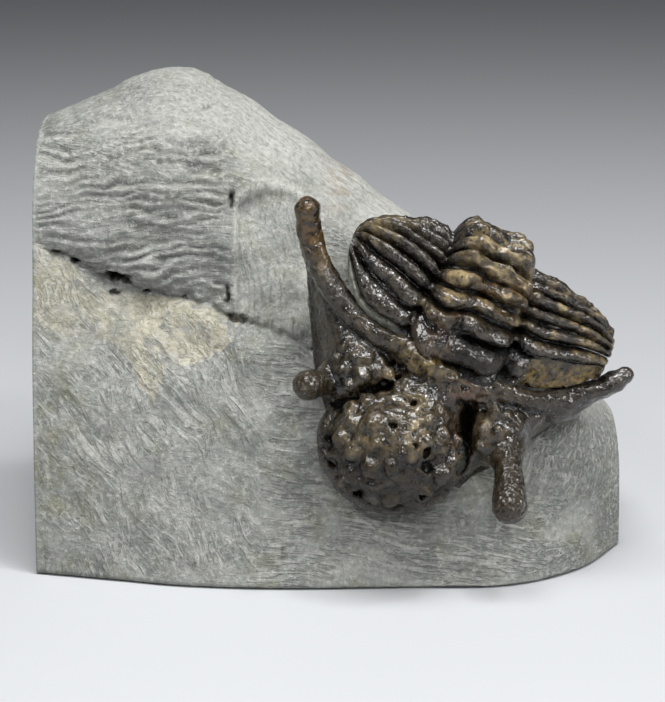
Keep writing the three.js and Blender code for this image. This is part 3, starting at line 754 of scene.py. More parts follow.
# Tubercles on them: (x, y, radius).
LOBE_TUBERCLES = [
    (-6.9, -11.4, 0.75), (-4.9, -10.2, 0.7), (-8.3, -9.9, 0.5), (-7.2, -9.6, 0.45), (-9, -11.5, 0.55),
    (-9.4, -9.7, 0.45), (-5.8, -12.3, 0.5), (-7.9, -12.7, 0.5), (-6, -9.2, 0.4), (-9.9, -10.7, 0.4),
    (6, -9.4, 0.6), (7.4, -9, 0.45), (8.8, -9.8, 0.5), (5.6, -11.2, 0.75), (7, -10.8, 0.5),
    (6.2, -12.8, 0.6),
]
# Pale, worn spots on the head: (place, reach, strength).
HEAD_SPOTS = [
    ((-4.3, -7.2, 3.6), 1.2, 0.9), ((0.4, -7.3, 4.9), 1.5, 0.6), ((-4.5, -16.5, 6.2), 1.5, 0.8),
    ((4.3, -6.9, 3.4), 1.3, 0.5), ((-1.7, -11.6, 5.5), 0.9, 0.9), ((-1.4, -13.4, 7), 1.2, 0.6),
    ((5.6, -11.2, 3.2), 1.1, 0.9), ((-4.8, -10.2, 3.4), 0.8, 0.8), ((8.6, -13, 2.5), 1.2, 0.6),
    ((-15, -3.2, 2.4), 1.1, 0.4),
]
VOXEL = 0.18
FAR = 3.0  # the largest distance kept
HEAD_LOW = np.array([-20.5, -25, -6.2])
HEAD_HIGH = np.array([19.5, 4.5, 9.2])


class Field:
    """Distances to a shape, on a grid in the head's axes. Each form changes only the grid round it."""

    def __init__(self):
        self.axes = [np.arange(low, high, VOXEL) for low, high in zip(HEAD_LOW, HEAD_HIGH)]
        self.values = np.full([len(axis) for axis in self.axes], FAR)

    def near(self, low, high, margin):
        """Slices of the grid round a box, and the points in them."""
        slices = []
        for axis, a, b in zip(self.axes, low, high):
            first, last = np.searchsorted(axis, [a - margin, b + margin])
            slices.append(slice(max(first, 0), max(last, 1)))
        slices = tuple(slices)
        grids = np.meshgrid(*[axis[s] for axis, s in zip(self.axes, slices)], indexing="ij")
        return slices, np.stack(grids, -1)

    def add(self, shape, low, high, blend, margin=2.0):
        slices, p = self.near(low, high, margin)
        self.values[slices] = smooth_min(self.values[slices], shape(p), blend)

    def cut(self, shape, low, high, blend):
        slices, p = self.near(low, high, 1.0)
        self.values[slices] = -smooth_min(-self.values[slices], shape(p), blend)

    def add_ball(self, centre, radii, blend, margin=2.0):
        self.add(ball(centre, radii), *box_of([centre], max(radii)), blend, margin)

    def add_limb(self, points, radius, reach, blend, spans=14):
        """Adds a limb that is nowhere thicker than reach."""
        self.add(limb(points, radius, spans), *box_of(points, reach), blend)

    def shift(self, change, reach=1.2):
        """Moves the surface out by change(points), worked out only near it."""
        close = np.abs(self.values) < reach
        index = np.argwhere(close)
        p = np.stack([axis[index[:, k]] for k, axis in enumerate(self.axes)], -1)
        self.values[close] -= change(p)

    def mesh(self):
        grid = openvdb.FloatGrid(background=FAR)
        grid.copyFromArray(np.clip(self.values, -FAR, FAR).astype(np.float32))
        points, quads = grid.convertToQuads(isovalue=0.0)
        return largest_part(np.asarray(points, dtype=float) * VOXEL + HEAD_LOW, np.asarray(quads, dtype=int))


def largest_part(points, faces):
    """The largest connected part of a mesh of quads, without loose crumbs."""
    label = np.arange(len(points))
    while True:
        fresh = label.copy()
        np.minimum.at(fresh, faces.reshape(-1), np.repeat(label[faces].min(1), 4))
        fresh = fresh[fresh]
        if (fresh == label).all():
            break
        label = fresh
    keep = label == np.bincount(label).argmax()
    index = np.cumsum(keep) - 1
    return points[keep], index[faces[keep[faces[:, 0]]]]


def ball(centre, radii):
    """An ellipsoid: a function that gives the distance to it, about right near its surface."""
    centre, radii = np.asarray(centre, float), np.asarray(radii, float)

    def distance(p):
        q = (p - centre) / radii
        k0 = np.sqrt((q * q).sum(-1)) + 1e-9
        k1 = np.sqrt(((q / radii) ** 2).sum(-1)) + 1e-9
        return k0 * (k0 - 1) / k1

    return distance


def limb(points, radius, spans=14):
    """A round limb along a curve, radius(s) thick at share s of its length."""
    shares = np.linspace(0, 1, spans + 1)
    path = catmull(points, shares)

    def distance(p):
        best = np.full(p.shape[:-1], 9.0)
        for k in range(spans):
            a, b = path[k], path[k + 1]
            along = np.clip(((p - a) @ (b - a)) / ((b - a) @ (b - a)), 0, 1)
            gap = np.sqrt(((p - a - along[..., None] * (b - a)) ** 2).sum(-1))
            best = np.minimum(best, gap - (radius(shares[k]) * (1 - along) + radius(shares[k + 1]) * along))
        return best

    return distance


def steady(radius):
    """A limb's radius where it is the same all along."""
    return lambda s: radius


def box_of(points, reach):
    """Low and high corners of the box that holds the points, larger by reach."""
    points = np.asarray(points, float)
    return points.min(0) - reach, points.max(0) + reach


def cheek_height(x, y):
    """Height of a cheek at x, y, the share of the way from its rear edge to its rim, and its length."""
    across = np.abs(x)
    rear, rim = ramp(across, REAR, 1), ramp(across, RIM, 1)
    share = (y - rear) / (rim - rear)
    s = np.clip(share, 0, 1)
    furrow = BORDER_FURROW * step(s, 0.01, 0.12)
    lip = RIM_RISE * bell(s - RIM_AT, 0.06)
    slope = ramp(across, REAR, 2) * (1 - s) + ramp(across, RIM, 2) * s
    return slope - furrow + ramp(across, CROWN) * np.sin(np.pi * s**0.85) + lip, share, rear - rim


def cheeks(p):
    """Distance to the thin shell of both cheeks, on a grid of points p."""
    x, y, z = p[..., 0], p[..., 1], p[..., 2]
    flat_x, flat_y = x[:, :, 0], y[:, :, 0]
    top, share, length = cheek_height(flat_x, flat_y)
    slope_x = np.gradient(top, VOXEL, axis=0)
    slope_y = np.gradient(top, VOXEL, axis=1)
    lean = 1 / np.sqrt(1 + slope_x**2 + slope_y**2)
    middle = (top - SHELL / 2)[..., None]
    thick = (np.abs(z - middle) - SHELL / 2) * lean[..., None]
    edge = np.maximum(np.abs(share - 0.5) - 0.5, -0.5) * length
    edge = np.maximum(edge, np.abs(flat_x) - HEAD_HALF_WIDTH)[..., None]
    return -smooth_min(-thick, -edge + 0 * thick, 0.9)


def tapered(thick, thin, swell=0.0):
    """A limb's radius from thick to thin, with a swelling at its end."""

    def radius(s):
        return thick + (thin - thick) * step(s, 0, 0.6) + swell * bell(s - 1, 0.3)

    return radius


def bulb_direction(p):
    """The direction from the bulb's middle, one long in the bulb's own stretched axes."""
    q = (p - BULB_CENTRE) / BULB_RADII
    return q / np.maximum(np.linalg.norm(q, axis=-1)[..., None], 1e-9)


def top_of(centre, radii, x, y, least):
    """Height of an ellipsoid's top over x, y; near its edge and past it, a height just above its middle."""
    q = ((x - centre[0]) / radii[0]) ** 2 + ((y - centre[1]) / radii[1]) ** 2
    return centre[2] + radii[2] * math.sqrt(max(1 - q, least))


def bulb_tubercles():
    """Tubercles spread unevenly over the bulb: places and radii."""
    chance = np.random.RandomState(5)
    turn = math.pi * (3 - math.sqrt(5))
    made = []
    for i in range(BULB_TUBERCLES):
        z = 1 - 1.3 * (i + 0.5) / BULB_TUBERCLES
        r = math.sqrt(1 - z * z)
        spot = np.array([r * math.cos(i * turn), r * math.sin(i * turn), z]) + chance.normal(0, 0.05, 3)
        spot /= np.linalg.norm(spot)
        size = chance.uniform(0.6, 1.25)
        if chance.uniform() < 0.85:
            made.append((BULB_CENTRE + spot * BULB_RADII * (1 - 0.35 * size / 6), size))
    return made


def uneven(shape):
    """The shape, with its distances pushed about so that it is less regular."""

    def distance(p):
        return shape(p) + 0.22 * noise(p, 0.8, 30)

    return distance


def head_field():
    """The head's form: cheeks, borders, bulb, stalks and small relief, joined with soft blends."""
    field = Field()
    field.add(cheeks, (-HEAD_HALF_WIDTH, -24, -6), (HEAD_HALF_WIDTH, 0, 9), 0.3)
    for side, spine, thin in ((-1, LEFT_SPINE, 1.2), (1, RIGHT_SPINE, 0.85)):
        line = [(side * x, y, z) for x, y, z in BORDER] + spine
        field.add_limb(line, tapered(1.05, thin), 1.4, 0.35)
    field.add_limb(OCCIPITAL_RING, tapered(1.35, 1.05), 1.5, 0.4)
    field.add_limb(RIGHT_CORNER, tapered(1.8, 1.1), 2, 0.5)
    field.add_ball(*LEFT_LOBE, 0.7)
    field.add_ball(*RIGHT_LOBE, 0.7)
    field.add_ball(*OCCIPITAL_NODE, 0.4)
    field.add_limb(BULB_NECK, lambda s: 3.6 + 1.3 * s, 5, 0.5)
    field.add_ball(BULB_CENTRE, BULB_RADII, 0.35)
    x, y, z = BULB_RIM_CENTRE
    wide, long = BULB_RIM_RADII
    turns = np.linspace(-3.3, 0.1, 9)
    edge = [(x + wide * math.cos(a), y + long * math.sin(a), z + 0.3 * math.sin(a)) for a in turns]
    field.add_limb(edge, lambda s: 0.62 + 0.2 * s, 1, 0.15, 24)
    field.add_limb(RIGHT_STALK, tapered(2.8, 1.3, 0.4), 3, 0.6)
    field.add_limb(LEFT_STALK, tapered(2.1, 1.05, 0.4), 2.4, 0.5)
    for place, size in bulb_tubercles():
        field.add_ball(place, (size, size, size), 0.25, 0.6)
    for x, y, size in LOBE_TUBERCLES:
        centre, radii = LEFT_LOBE if x < 0 else RIGHT_LOBE
        field.add_ball((x, y, top_of(centre, radii, x, y, 0.05)), (size, size, 0.8 * size), 0.4, 0.6)
    for depth in SLOT_DEPTHS:
        for slot, radius in ((RIGHT_SLOT, 0.75), (LEFT_SLOT, 0.62)):
            line = np.array(slot) - [0, 0, depth]
            field.cut(limb(line, steady(radius)), *box_of(line, 0.9), 0.4)
    centre, radii = OCCIPITAL_HOLLOW
    field.cut(ball(centre, radii), *box_of([centre], max(radii)), 0.3)
    field.add_limb(FOLD, steady(0.22), 0.4, 0.15)
    for x, y, radius, depth in BULB_PITS:
        place = np.array([x, y, top_of(BULB_CENTRE, BULB_RADII, x, y, 0.02) + 0.2])
        inward = -bulb_direction(place)
        pit = [place - inward * 0.4, place + inward * depth]
        field.cut(uneven(limb(pit, lambda s, r=radius: r * (1.1 - 0.4 * s), 3)), *box_of(pit, radius), 0.2)
    field.shift(head_roughness)
    return field


def on_bulb(p):
    """1 on the bulb and 0 away from it."""
    q = np.linalg.norm((p - BULB_CENTRE) / BULB_RADII, axis=-1)
    return step(1.25 - q, 0, 0.12)


def on_stalks(p):
    x, y, z = p[..., 0], p[..., 1], p[..., 2]
    right = step(x, 7.5, 9) * step(z, 2.6, 4.2)
    left = step(-x, 9, 10.4) * step(z, 2.6, 4) * step(-y, 11, 12.5)
    return np.maximum(right, left)


def on_occiput(p):
    """1 on the folded middle of the head's rear edge."""
    x, y = p[..., 0], p[..., 1]
    return step(7 - np.abs(x - 1), 0, 2) * step(y, -10, -9)


def head_roughness(p):
    """How far the surface stands out from its smooth form: lumps, folds, the dent, and the edges of pits."""
    x, y = p[..., 0], p[..., 1]
    bulb, stalk = on_bulb(p), on_stalks(p)
    warped = p + 0.5 * np.stack([noise(p, 1.3, 15), noise(p, 1.3, 16), noise(p, 1.3, 17)], -1)
    lumps = 0.15 * noise(warped, 2.1, 11, 2) + 0.1 * noise(warped, 0.9, 12)
    folds = ridged(warped, (1.9, 1.5, 1.5), 18) * (0.07 * bulb + 0.26 * on_occiput(p))
    dent_x, dent_y, dent_radius, dent_depth = BULB_DENT
    holes = dent_depth * bulb * bell(np.hypot(x - dent_x, y - dent_y), dent_radius)
    grain = (0.03 + 0.03 * stalk) * noise(p, 0.42, 14)
    rims = np.zeros_like(x)
    for pit_x, pit_y, radius, _ in BULB_PITS:
        rims = np.maximum(rims, bell(np.hypot(x - pit_x, y - pit_y) - 1.35 * radius, 0.3))
    rims = rims * (0.6 + 0.6 * noise(p, 1.1, 31))
    wavy = 0.22 * bulb * noise(warped, (2.6, 1.6, 2), 32)
    return lumps * (1 + 0.4 * bulb) * (1 - 0.8 * stalk) + folds - holes + grain + 0.3 * bulb * rims + wavy


def blurred(values, reach):
    """The mean of values over a box of that reach, in voxels, about each."""
    width = 2 * reach + 1
    for axis in range(3):
        pads = [(0, 0)] * 3
        pads[axis] = (reach + 1, reach)
        total = np.cumsum(np.pad(values, pads, "edge"), axis)
        before = np.arange(values.shape[axis])
        values = (total.take(before + width, axis) - total.take(before, axis)) / width
    return values


def head_crests(field, points):
    """How much the surface stands out over its surroundings at each point: 0 in a hollow, 1 on a crest."""
    index = np.rint((points - HEAD_LOW) / VOXEL).astype(int)
    index = tuple(np.clip(index[:, k], 0, field.values.shape[k] - 1) for k in range(3))
    near = np.clip(field.values, -1.5, 1.5)
    standing = (blurred(blurred(near, 2), 2) - near)[index]
    broad = (blurred(blurred(near, 5), 4) - near)[index]
    return step(standing / 0.16 + broad / 0.6, -1.0, 1.3)


def head_hollows(p):
    """How far each point is inside a pit of the bulb or a slot beside it, from 0 to 1."""
    x, y, z = p[:, 0], p[:, 1], p[:, 2]
    hollows = np.zeros(len(p))
    for pit_x, pit_y, radius, depth in BULB_PITS:
        inside = 0.85 * radius - np.hypot(x - pit_x, y - pit_y) + 0.2 * noise(p, 0.6, 27)
        hollows = np.maximum(hollows, depth * on_bulb(p) * step(inside, 0, 0.4))
    for slot, wide in ((RIGHT_SLOT, 1.05), (LEFT_SLOT, 0.9)):
        line = [(-along, across, height) for across, along, height in slot]
        ends = step(-y, line[0][0] - 0.9, line[0][0]) * step(y + line[-1][0], -0.6, 0.4)
        below = step(ramp(-y, line, 2) - z, -1.6, 0.2)
        hollows = np.maximum(hollows, bell(x - ramp(-y, line), wide) * ends * below)
    return hollows


def distance_from(p, place):
    return np.linalg.norm(p - place, axis=1)


def head_fields(p):
    """Where the head has its stains, its painted glints and its painted shade, at points p."""
    x, y, z = p[:, 0], p[:, 1], p[:, 2]
    bulb, stalk = on_bulb(p), on_stalks(p)
    pale = np.zeros(len(p))
    for place, reach, strength in HEAD_SPOTS:
        pale = np.maximum(pale, strength * bell(distance_from(p, place), reach))
    pale += 0.45 * bulb * step(noise(p, 2.4, 23, 3), 0, 0.7) * step(y, -21, -16)
    mottled = step(noise(p, 2.2, 26, 2), -0.8, 0.3)
    amber = 0.9 * step(-x, 13, 15) * step(y, -4, -2) * mottled
    amber = np.maximum(amber, 0.45 * bell(distance_from(p, (-12, -14.5, 5.4)), 1.5))
    rust = bell(np.hypot((x - 2.4) / 1.5, y + 8.6), 1.4) * step(noise(p, 1.2, 28, 2), -0.9, 0.2)
    rust = np.maximum(rust, 0.5 * bell(np.hypot(x - 3.4, y + 12.4), 1.3))
    yellow = 1.2 * bell(distance_from(p, (-2.3, -7.7, 5.2)), 1.5)
    # Where the thin pale lines, painted glints along fine cracks, go: round the bulb's ledge and in a band
    # on the outer cheeks.
    ledge = oval(x - BULB_RIM_CENTRE[0], y - BULB_RIM_CENTRE[1], *BULB_RIM_RADII)
    net = bell(ledge - 1, 0.12) * step(2.6 - z, 0, 0.8) * step(-y, 13, 15)
    share = cheek_height(x, y)[1]
    net = np.maximum(net, step(share, 0.55, 0.75) * step(np.abs(x), 9.5, 11)) * (1 - stalk)
    lobes = step(7 - np.hypot(np.abs(x) - 7.4, y + 11), 0, 4) * (1 - stalk)
    olive = np.maximum(bulb * (0.75 + 0.35 * noise(p, 3, 50, 2)), 0.6 * lobes)
    dent = bell(np.hypot(x - BULB_DENT[0], y - BULB_DENT[1]), 1.2)
    front = step(-y, 15, 18) * step(noise(p, 2.6, 51, 2), -0.9, 0)
    shade = 0.85 * bulb * np.maximum(dent, front)
    shade = np.maximum(shade, 0.8 * step(-0.4 - z, 0, 1.5) * (1 - stalk))
    fields = {"pale": pale, "amber": amber, "rust": rust, "yellow": yellow, "net": net}
    return {**fields, "olive": olive, "shade": shade, "satin": stalk, "smooth": bulb}


def head_mesh():
    """Points, faces and fields of the head."""
    field = head_field()
    points, faces = field.mesh()
    fields = head_fields(points)
    # The crest is 0 in the bulb's pits and slots, so the material paints shade there.
    fields["crest"] = head_crests(field, points) * (1 - head_hollows(points))
    return points, faces, fields


# ---- Materials ----


class Nodes:
    """A material in the making: its nodes, under short names, and its base colour so far, body."""

    def __init__(self, name):
        self.material = bpy.data.materials.new(name)
        self.material.use_nodes = True
        self.tree = self.material.node_tree
        self.shader = self.tree.nodes["Principled BSDF"]
        self.place = self.node("ShaderNodeTexCoord").outputs["Object"]

    def node(self, kind, **values):
        made = self.tree.nodes.new(kind)
        for name, value in values.items():
            setattr(made, name, value)
        return made

    def link(self, source, target):
        self.tree.links.new(source, target)

    def set(self, target, value):
        if isinstance(value, bpy.types.NodeSocket):
            self.link(value, target)
        else:
            target.default_value = value

    def field(self, name):
        return self.node("ShaderNodeAttribute", attribute_name=name).outputs["Fac"]

    def math(self, operation, a, b=0.0):
        made = self.node("ShaderNodeMath", operation=operation)
        self.set(made.inputs[0], a)
        self.set(made.inputs[1], b)
        return made.outputs[0]

    def times(self, a, b):
        return self.math("MULTIPLY", a, b)

    def plus(self, a, b):
        return self.math("ADD", a, b)

    def from_middle(self, noise):
        return self.math("SUBTRACT", noise, 0.5)

    def thin_lines(self, noise, width, height=1.0):
        """Fine lines where a noise crosses its middle value."""
        return self.range(self.math("ABSOLUTE", self.from_middle(noise)), 0, width, height, 0)

    def noise_at(self, where, **values):
        made = self.node("ShaderNodeTexNoise")
        self.link(where, made.inputs["Vector"])
        for name, value in values.items():
            made.inputs[name].default_value = value
        return made

    def noise(self, per_mm, detail, roughness=0.5):
        made = self.noise_at(self.place, Scale=per_mm / MM, Detail=detail, Roughness=roughness)
        return made.outputs["Fac"]

    def swayed(self):
        """The place, pushed about by slow noise, so that strokes laid on it bend and cross."""
        slow = self.noise_at(self.place, Scale=0.09 / MM, Detail=1).outputs["Color"]
        shifted = self.node("ShaderNodeVectorMath", operation="MULTIPLY_ADD")
        shifted.inputs[1].default_value = (3.5 * MM, 0, 3.5 * MM)
        self.link(slow, shifted.inputs[0])
        self.link(self.place, shifted.inputs[2])
        return shifted.outputs[0]

    def strokes(self, where, angle, length, spacing, bent):
        """Noise drawn out along a direction in the plane of the block's front."""
        turned = self.node("ShaderNodeVectorRotate", rotation_type="Y_AXIS")
        turned.inputs["Angle"].default_value = angle * DEG
        self.link(where, turned.inputs["Vector"])
        scaled = self.node("ShaderNodeVectorMath", operation="MULTIPLY")
        scaled.inputs[1].default_value = (1 / (length * MM), 0.6 / (spacing * MM), 1 / (spacing * MM))
        self.link(turned.outputs[0], scaled.inputs[0])
        return self.noise_at(scaled.outputs[0], Scale=1, Detail=2, Distortion=bent).outputs["Fac"]

    def cells(self, per_mm):
        made = self.node("ShaderNodeTexVoronoi")
        self.link(self.place, made.inputs["Vector"])
        made.inputs["Scale"].default_value = per_mm / MM
        return made.outputs["Distance"]

    def range(self, value, low, high, to_low=0.0, to_high=1.0):
        made = self.node("ShaderNodeMapRange", interpolation_type="SMOOTHSTEP")
        self.set(made.inputs["Value"], value)
        limits = {"From Min": low, "From Max": high, "To Min": to_low, "To Max": to_high}
        for name, number in limits.items():
            made.inputs[name].default_value = number
        return made.outputs["Result"]

    def mix(self, share, a, b, blend="MIX"):
        made = self.node("ShaderNodeMix", data_type="RGBA", blend_type=blend)
        self.set(made.inputs["Factor"], share)
        for socket, colour in ((made.inputs[6], a), (made.inputs[7], b)):
            self.set(socket, (*colour, 1) if isinstance(colour, tuple) else colour)
        return made.outputs[2]

    def tint(self, share, colour):
        self.body = self.mix(share, self.body, colour)

    def tint_fields(self, tints):
        """Lays a colour over each field's area: field name, strength, colour."""
        for name, strength, colour in tints:
            self.tint(self.times(self.field(name), strength), colour)

    def darken(self, share, colour):
        self.body = self.mix(share, self.body, self.mix(1, self.body, colour, "MULTIPLY"))

    def bump(self, height, distance, strength=1.0, into="Normal"):
        made = self.node("ShaderNodeBump")
        made.inputs["Distance"].default_value = distance * MM
        made.inputs["Strength"].default_value = strength
        self.link(height, made.inputs["Height"])
        self.link(made.outputs["Normal"], self.shader.inputs[into])

    def finish(self, values):
        """Sets the base colour and the shader's other inputs, and gives the material."""
        self.set(self.shader.inputs["Base Color"], self.body)
        for name, value in values.items():
            self.set(self.shader.inputs[name], value)
        return self.material


# Colours of the shell, each a darker and a lighter one.
SHELL_DARK = (0.002, 0.0016, 0.0012), (0.013, 0.0088, 0.0048)
# The worn pair lightens the crests: partly real wear, partly painted sheen.
SHELL_WORN_AND_SHEEN = (0.01, 0.0078, 0.005), (0.085, 0.067, 0.046)
SHELL_PALE = (0.03, 0.021, 0.009), (0.27, 0.205, 0.105)
STALKS = (0.003, 0.0022, 0.0014), (0.05, 0.037, 0.023)
PORES = (0.008, 0.007, 0.006)
# Thin pale lines: painted glints along a net of fine cracks.
NET_GLINTS = (0.22, 0.21, 0.19)
# Stains over it: field name, strength, darker and lighter colour.
STAINS = [
    ("olive", 0.9, (0.004, 0.003, 0.0016), (0.07, 0.05, 0.023)),
    ("amber", 0.9, (0.010, 0.0055, 0.0012), (0.12, 0.062, 0.01)),
    ("rust", 0.8, (0.028, 0.012, 0.006), (0.11, 0.055, 0.03)),
    ("stone", 0.9, (0.085, 0.086, 0.066), (0.2, 0.2, 0.165)),
    ("yellow", 0.95, (0.012, 0.0075, 0.002), (0.2, 0.136, 0.038)),
]


def fossil_material():
    n = Nodes("fossil_shell_polished")
    crest, satin, shade = n.field("crest"), n.field("satin"), n.field("shade")
    fine = n.noise(1.5, 4)
    dark = n.mix(n.range(n.noise(0.3, 4), 0.38, 0.66), *SHELL_DARK)
    # Crests take the worn colour, which is partly real wear and partly painted sheen.
    worn_and_sheen = n.mix(n.range(fine, 0.35, 0.7), *SHELL_WORN_AND_SHEEN)
    n.body = n.mix(n.range(crest, 0.55, 1.0, 0, 0.42), dark, worn_and_sheen)
    for name, strength, deep, light in STAINS:
        n.tint(n.times(n.field(name), strength), n.mix(n.range(fine, 0.3, 0.7), deep, light))
    pale = n.times(n.field("pale"), n.range(n.noise(1.1, 4), 0.3, 0.62, 0.25, 1.1))
    n.tint(pale, n.mix(n.range(n.noise(0.8, 3), 0.35, 0.65), *SHELL_PALE))
    pores = n.range(n.cells(0.7), 0.03, 0.13)
    n.body = n.mix(n.math("MAXIMUM", pores, n.field("smooth")), PORES, n.body)
    n.tint(n.times(satin, 0.75), n.mix(fine, *STALKS))
    # The net areas get thin pale lines, painted glints along fine cracks.
    threads = n.thin_lines(n.noise(0.8, 2), 0.016)
    net = n.times(n.field("net"), threads)
    n.tint(n.times(net, 0.7), NET_GLINTS)
    # Painted shade: in the bulb's dent, over its lower front, under the head, and on the first ring under
    # the second.
    n.darken(shade, (0.36, 0.34, 0.32))
    # Painted shade in hollows, grooves, pits and slots and on undersides, where the crest field is low.
    hollow = n.range(crest, 0.0, 0.5, 0.15, 1)
    n.body = n.mix(1.0, n.body, n.mix(hollow, (0.05, 0.05, 0.05), (1, 1, 1)), "MULTIPLY")
    # The coat is thinner on the stalks and where shade is painted, which dims its reflection there.
    covered = n.times(n.range(satin, 0, 1, 1, 0.8), n.range(shade, 0, 0.8, 1, 0.5))
    granular = n.times(satin, n.times(n.noise(2.0, 0), 1.1))
    grain = n.plus(n.noise(1.2, 5, 0.62), n.times(pores, 0.3))
    n.bump(n.plus(grain, n.plus(n.times(net, 0.25), granular)), 0.3, 0.8)
    wrinkles = n.plus(n.noise(0.9, 2), n.times(threads, 0.22))
    n.bump(n.plus(wrinkles, granular), 0.37, 0.9, "Coat Normal")
    return n.finish({
        "Roughness": n.range(fine, 0.3, 0.75, 0.22, 0.42),
        "Specular IOR Level": n.range(satin, 0, 1, 0.2, 0.1),
        "Coat Weight": covered,
        "Coat Roughness": 0.04,
        "Coat IOR": 1.47,
    })


# How the preparator's tools went over the block: field name, angle up from +X, length and spacing of the
# strokes in millimetres, how bent they are, how deep, and how deep the thin cuts among them are.
TOOL_MARKS = [
    ("rows", 3, 3.0, 0.5, 1.0, 0.6, 0.0),
    ("diagonal", -50, 4.5, 0.62, 0.6, 1.0, 0.2),
    ("steep", -76, 3.2, 0.5, 0.6, 0.9, 0.18),
    ("level", -8, 3.8, 0.36, 0.5, 0.95, 0.26),
    ("upright", 91, 3.0, 0.28, 0.4, 0.7, 0.0),
    ("slope", -36, 4.0, 0.42, 0.6, 0.75, 0.05),
    ("bend", 62, 3.6, 0.4, 0.6, 1.0, 0.26),
]
# Colours of the rock: its own two, then those of what lies in it or over it.
ROCK = (0.238, 0.245, 0.228), (0.298, 0.302, 0.282)
ROCK_OLIVE = (0.21, 0.21, 0.155)
ROCK_CREAM = (0.39, 0.365, 0.285)
ROCK_SPECKS = (0.14, 0.14, 0.13)
LIGHT_GRAINS = (0.46, 0.46, 0.43)
DARK_GRAINS = (0.15, 0.152, 0.142)
# A painted highlight, with powder, on the crests of the tool strokes.
STROKE_CREST_POWDER_AND_HIGHLIGHT = (0.45, 0.45, 0.42)
# Tints of areas under the grain, with painted shade and highlight among them, and stains and painted shade
# over it: field name, strength, colour.
AREA_TINTS = [
    ("lip", 1, (0.5, 0.5, 0.46)),
    ("rows", 0.5, (0.15, 0.154, 0.145)),
    # Painted shade in the troughs of the tool strokes, and a painted highlight with powder on their ridges.
    ("trough_shade", 0.7, (0.1, 0.103, 0.096)),
    ("ridge", 0.5, (0.42, 0.42, 0.39)),
]
ROCK_STAINS = [
    ("brown", 1, (0.2, 0.145, 0.08)),
    # Painted shade on the rock round the animal and inside its curl.
    ("curl_shade", 1, (0.12, 0.12, 0.09)),
    # Near-black painted shade inside the pits, and the dark scar near the foot.
    ("dark", 1, (0.018, 0.016, 0.014)),
]


def limestone_material():
    n = Nodes("limestone_grey")
    grain = n.noise(1.9, 4, 0.75)
    where = n.swayed()
    relief = 0.0
    for name, angle, length, spacing, bent, deep, cut in TOOL_MARKS:
        marks = n.strokes(where, angle, length, spacing, bent)
        height = n.math("SUBTRACT", n.times(n.from_middle(marks), deep), n.thin_lines(marks, 0.028, cut))
        relief = n.plus(relief, n.times(n.field(name), height))
    n.body = n.mix(n.range(n.noise(0.2, 5), 0.36, 0.64), *ROCK)
    n.tint(n.times(n.field("green"), n.range(n.noise(0.5, 4), 0.36, 0.64)), ROCK_OLIVE)
    # Painted light: the upper slope and top made lighter.
    n.tint_fields([("slope", 0.8, (0.41, 0.41, 0.38))])
    n.tint(n.times(n.field("cream"), n.range(n.noise(0.55, 5, 0.6), 0.34, 0.56)), ROCK_CREAM)
    n.tint_fields(AREA_TINTS)
    # Painted shade in the stroke troughs and a painted highlight, with powder, on their crests.
    n.darken(n.range(relief, -0.2, 0.05, 1, 0), (0.68, 0.69, 0.68))
    n.tint(n.range(relief, 0.04, 0.2, 0, 0.4), STROKE_CREST_POWDER_AND_HIGHLIGHT)
    n.tint(n.range(grain, 0.5, 0.68, 0, 0.6), LIGHT_GRAINS)
    n.tint(n.range(grain, 0.32, 0.5, 0.6, 0), DARK_GRAINS)
    n.tint(n.range(n.noise(1.7, 4), 0.6, 0.76, 0, 0.4), ROCK_SPECKS)
    n.tint_fields(ROCK_STAINS)
    n.bump(n.plus(n.times(relief, 1.1), n.times(grain, 0.8)), 0.4, 1.0)
    return n.finish({"Roughness": 0.85, "Specular IOR Level": 0.3})


def floor_material():
    n = Nodes("floor_pale")
    n.body = (0.46, 0.47, 0.485, 1)
    return n.finish({"Roughness": 0.6})


# ---- The pieces ----


def union(target, others):
    """Joins the other objects into the target's mesh and removes them."""
    for other in others:
        join = target.modifiers.new("join", "BOOLEAN")
        join.operation = "UNION"
        join.solver = "MANIFOLD"
        join.object = other
    bpy.context.view_layer.update()
    evaluated = target.evaluated_get(bpy.context.evaluated_depsgraph_get())
    joined = bpy.data.meshes.new_from_object(evaluated)
    target.modifiers.clear()
    target.data = joined
    for other in others:
        bpy.data.objects.remove(other)


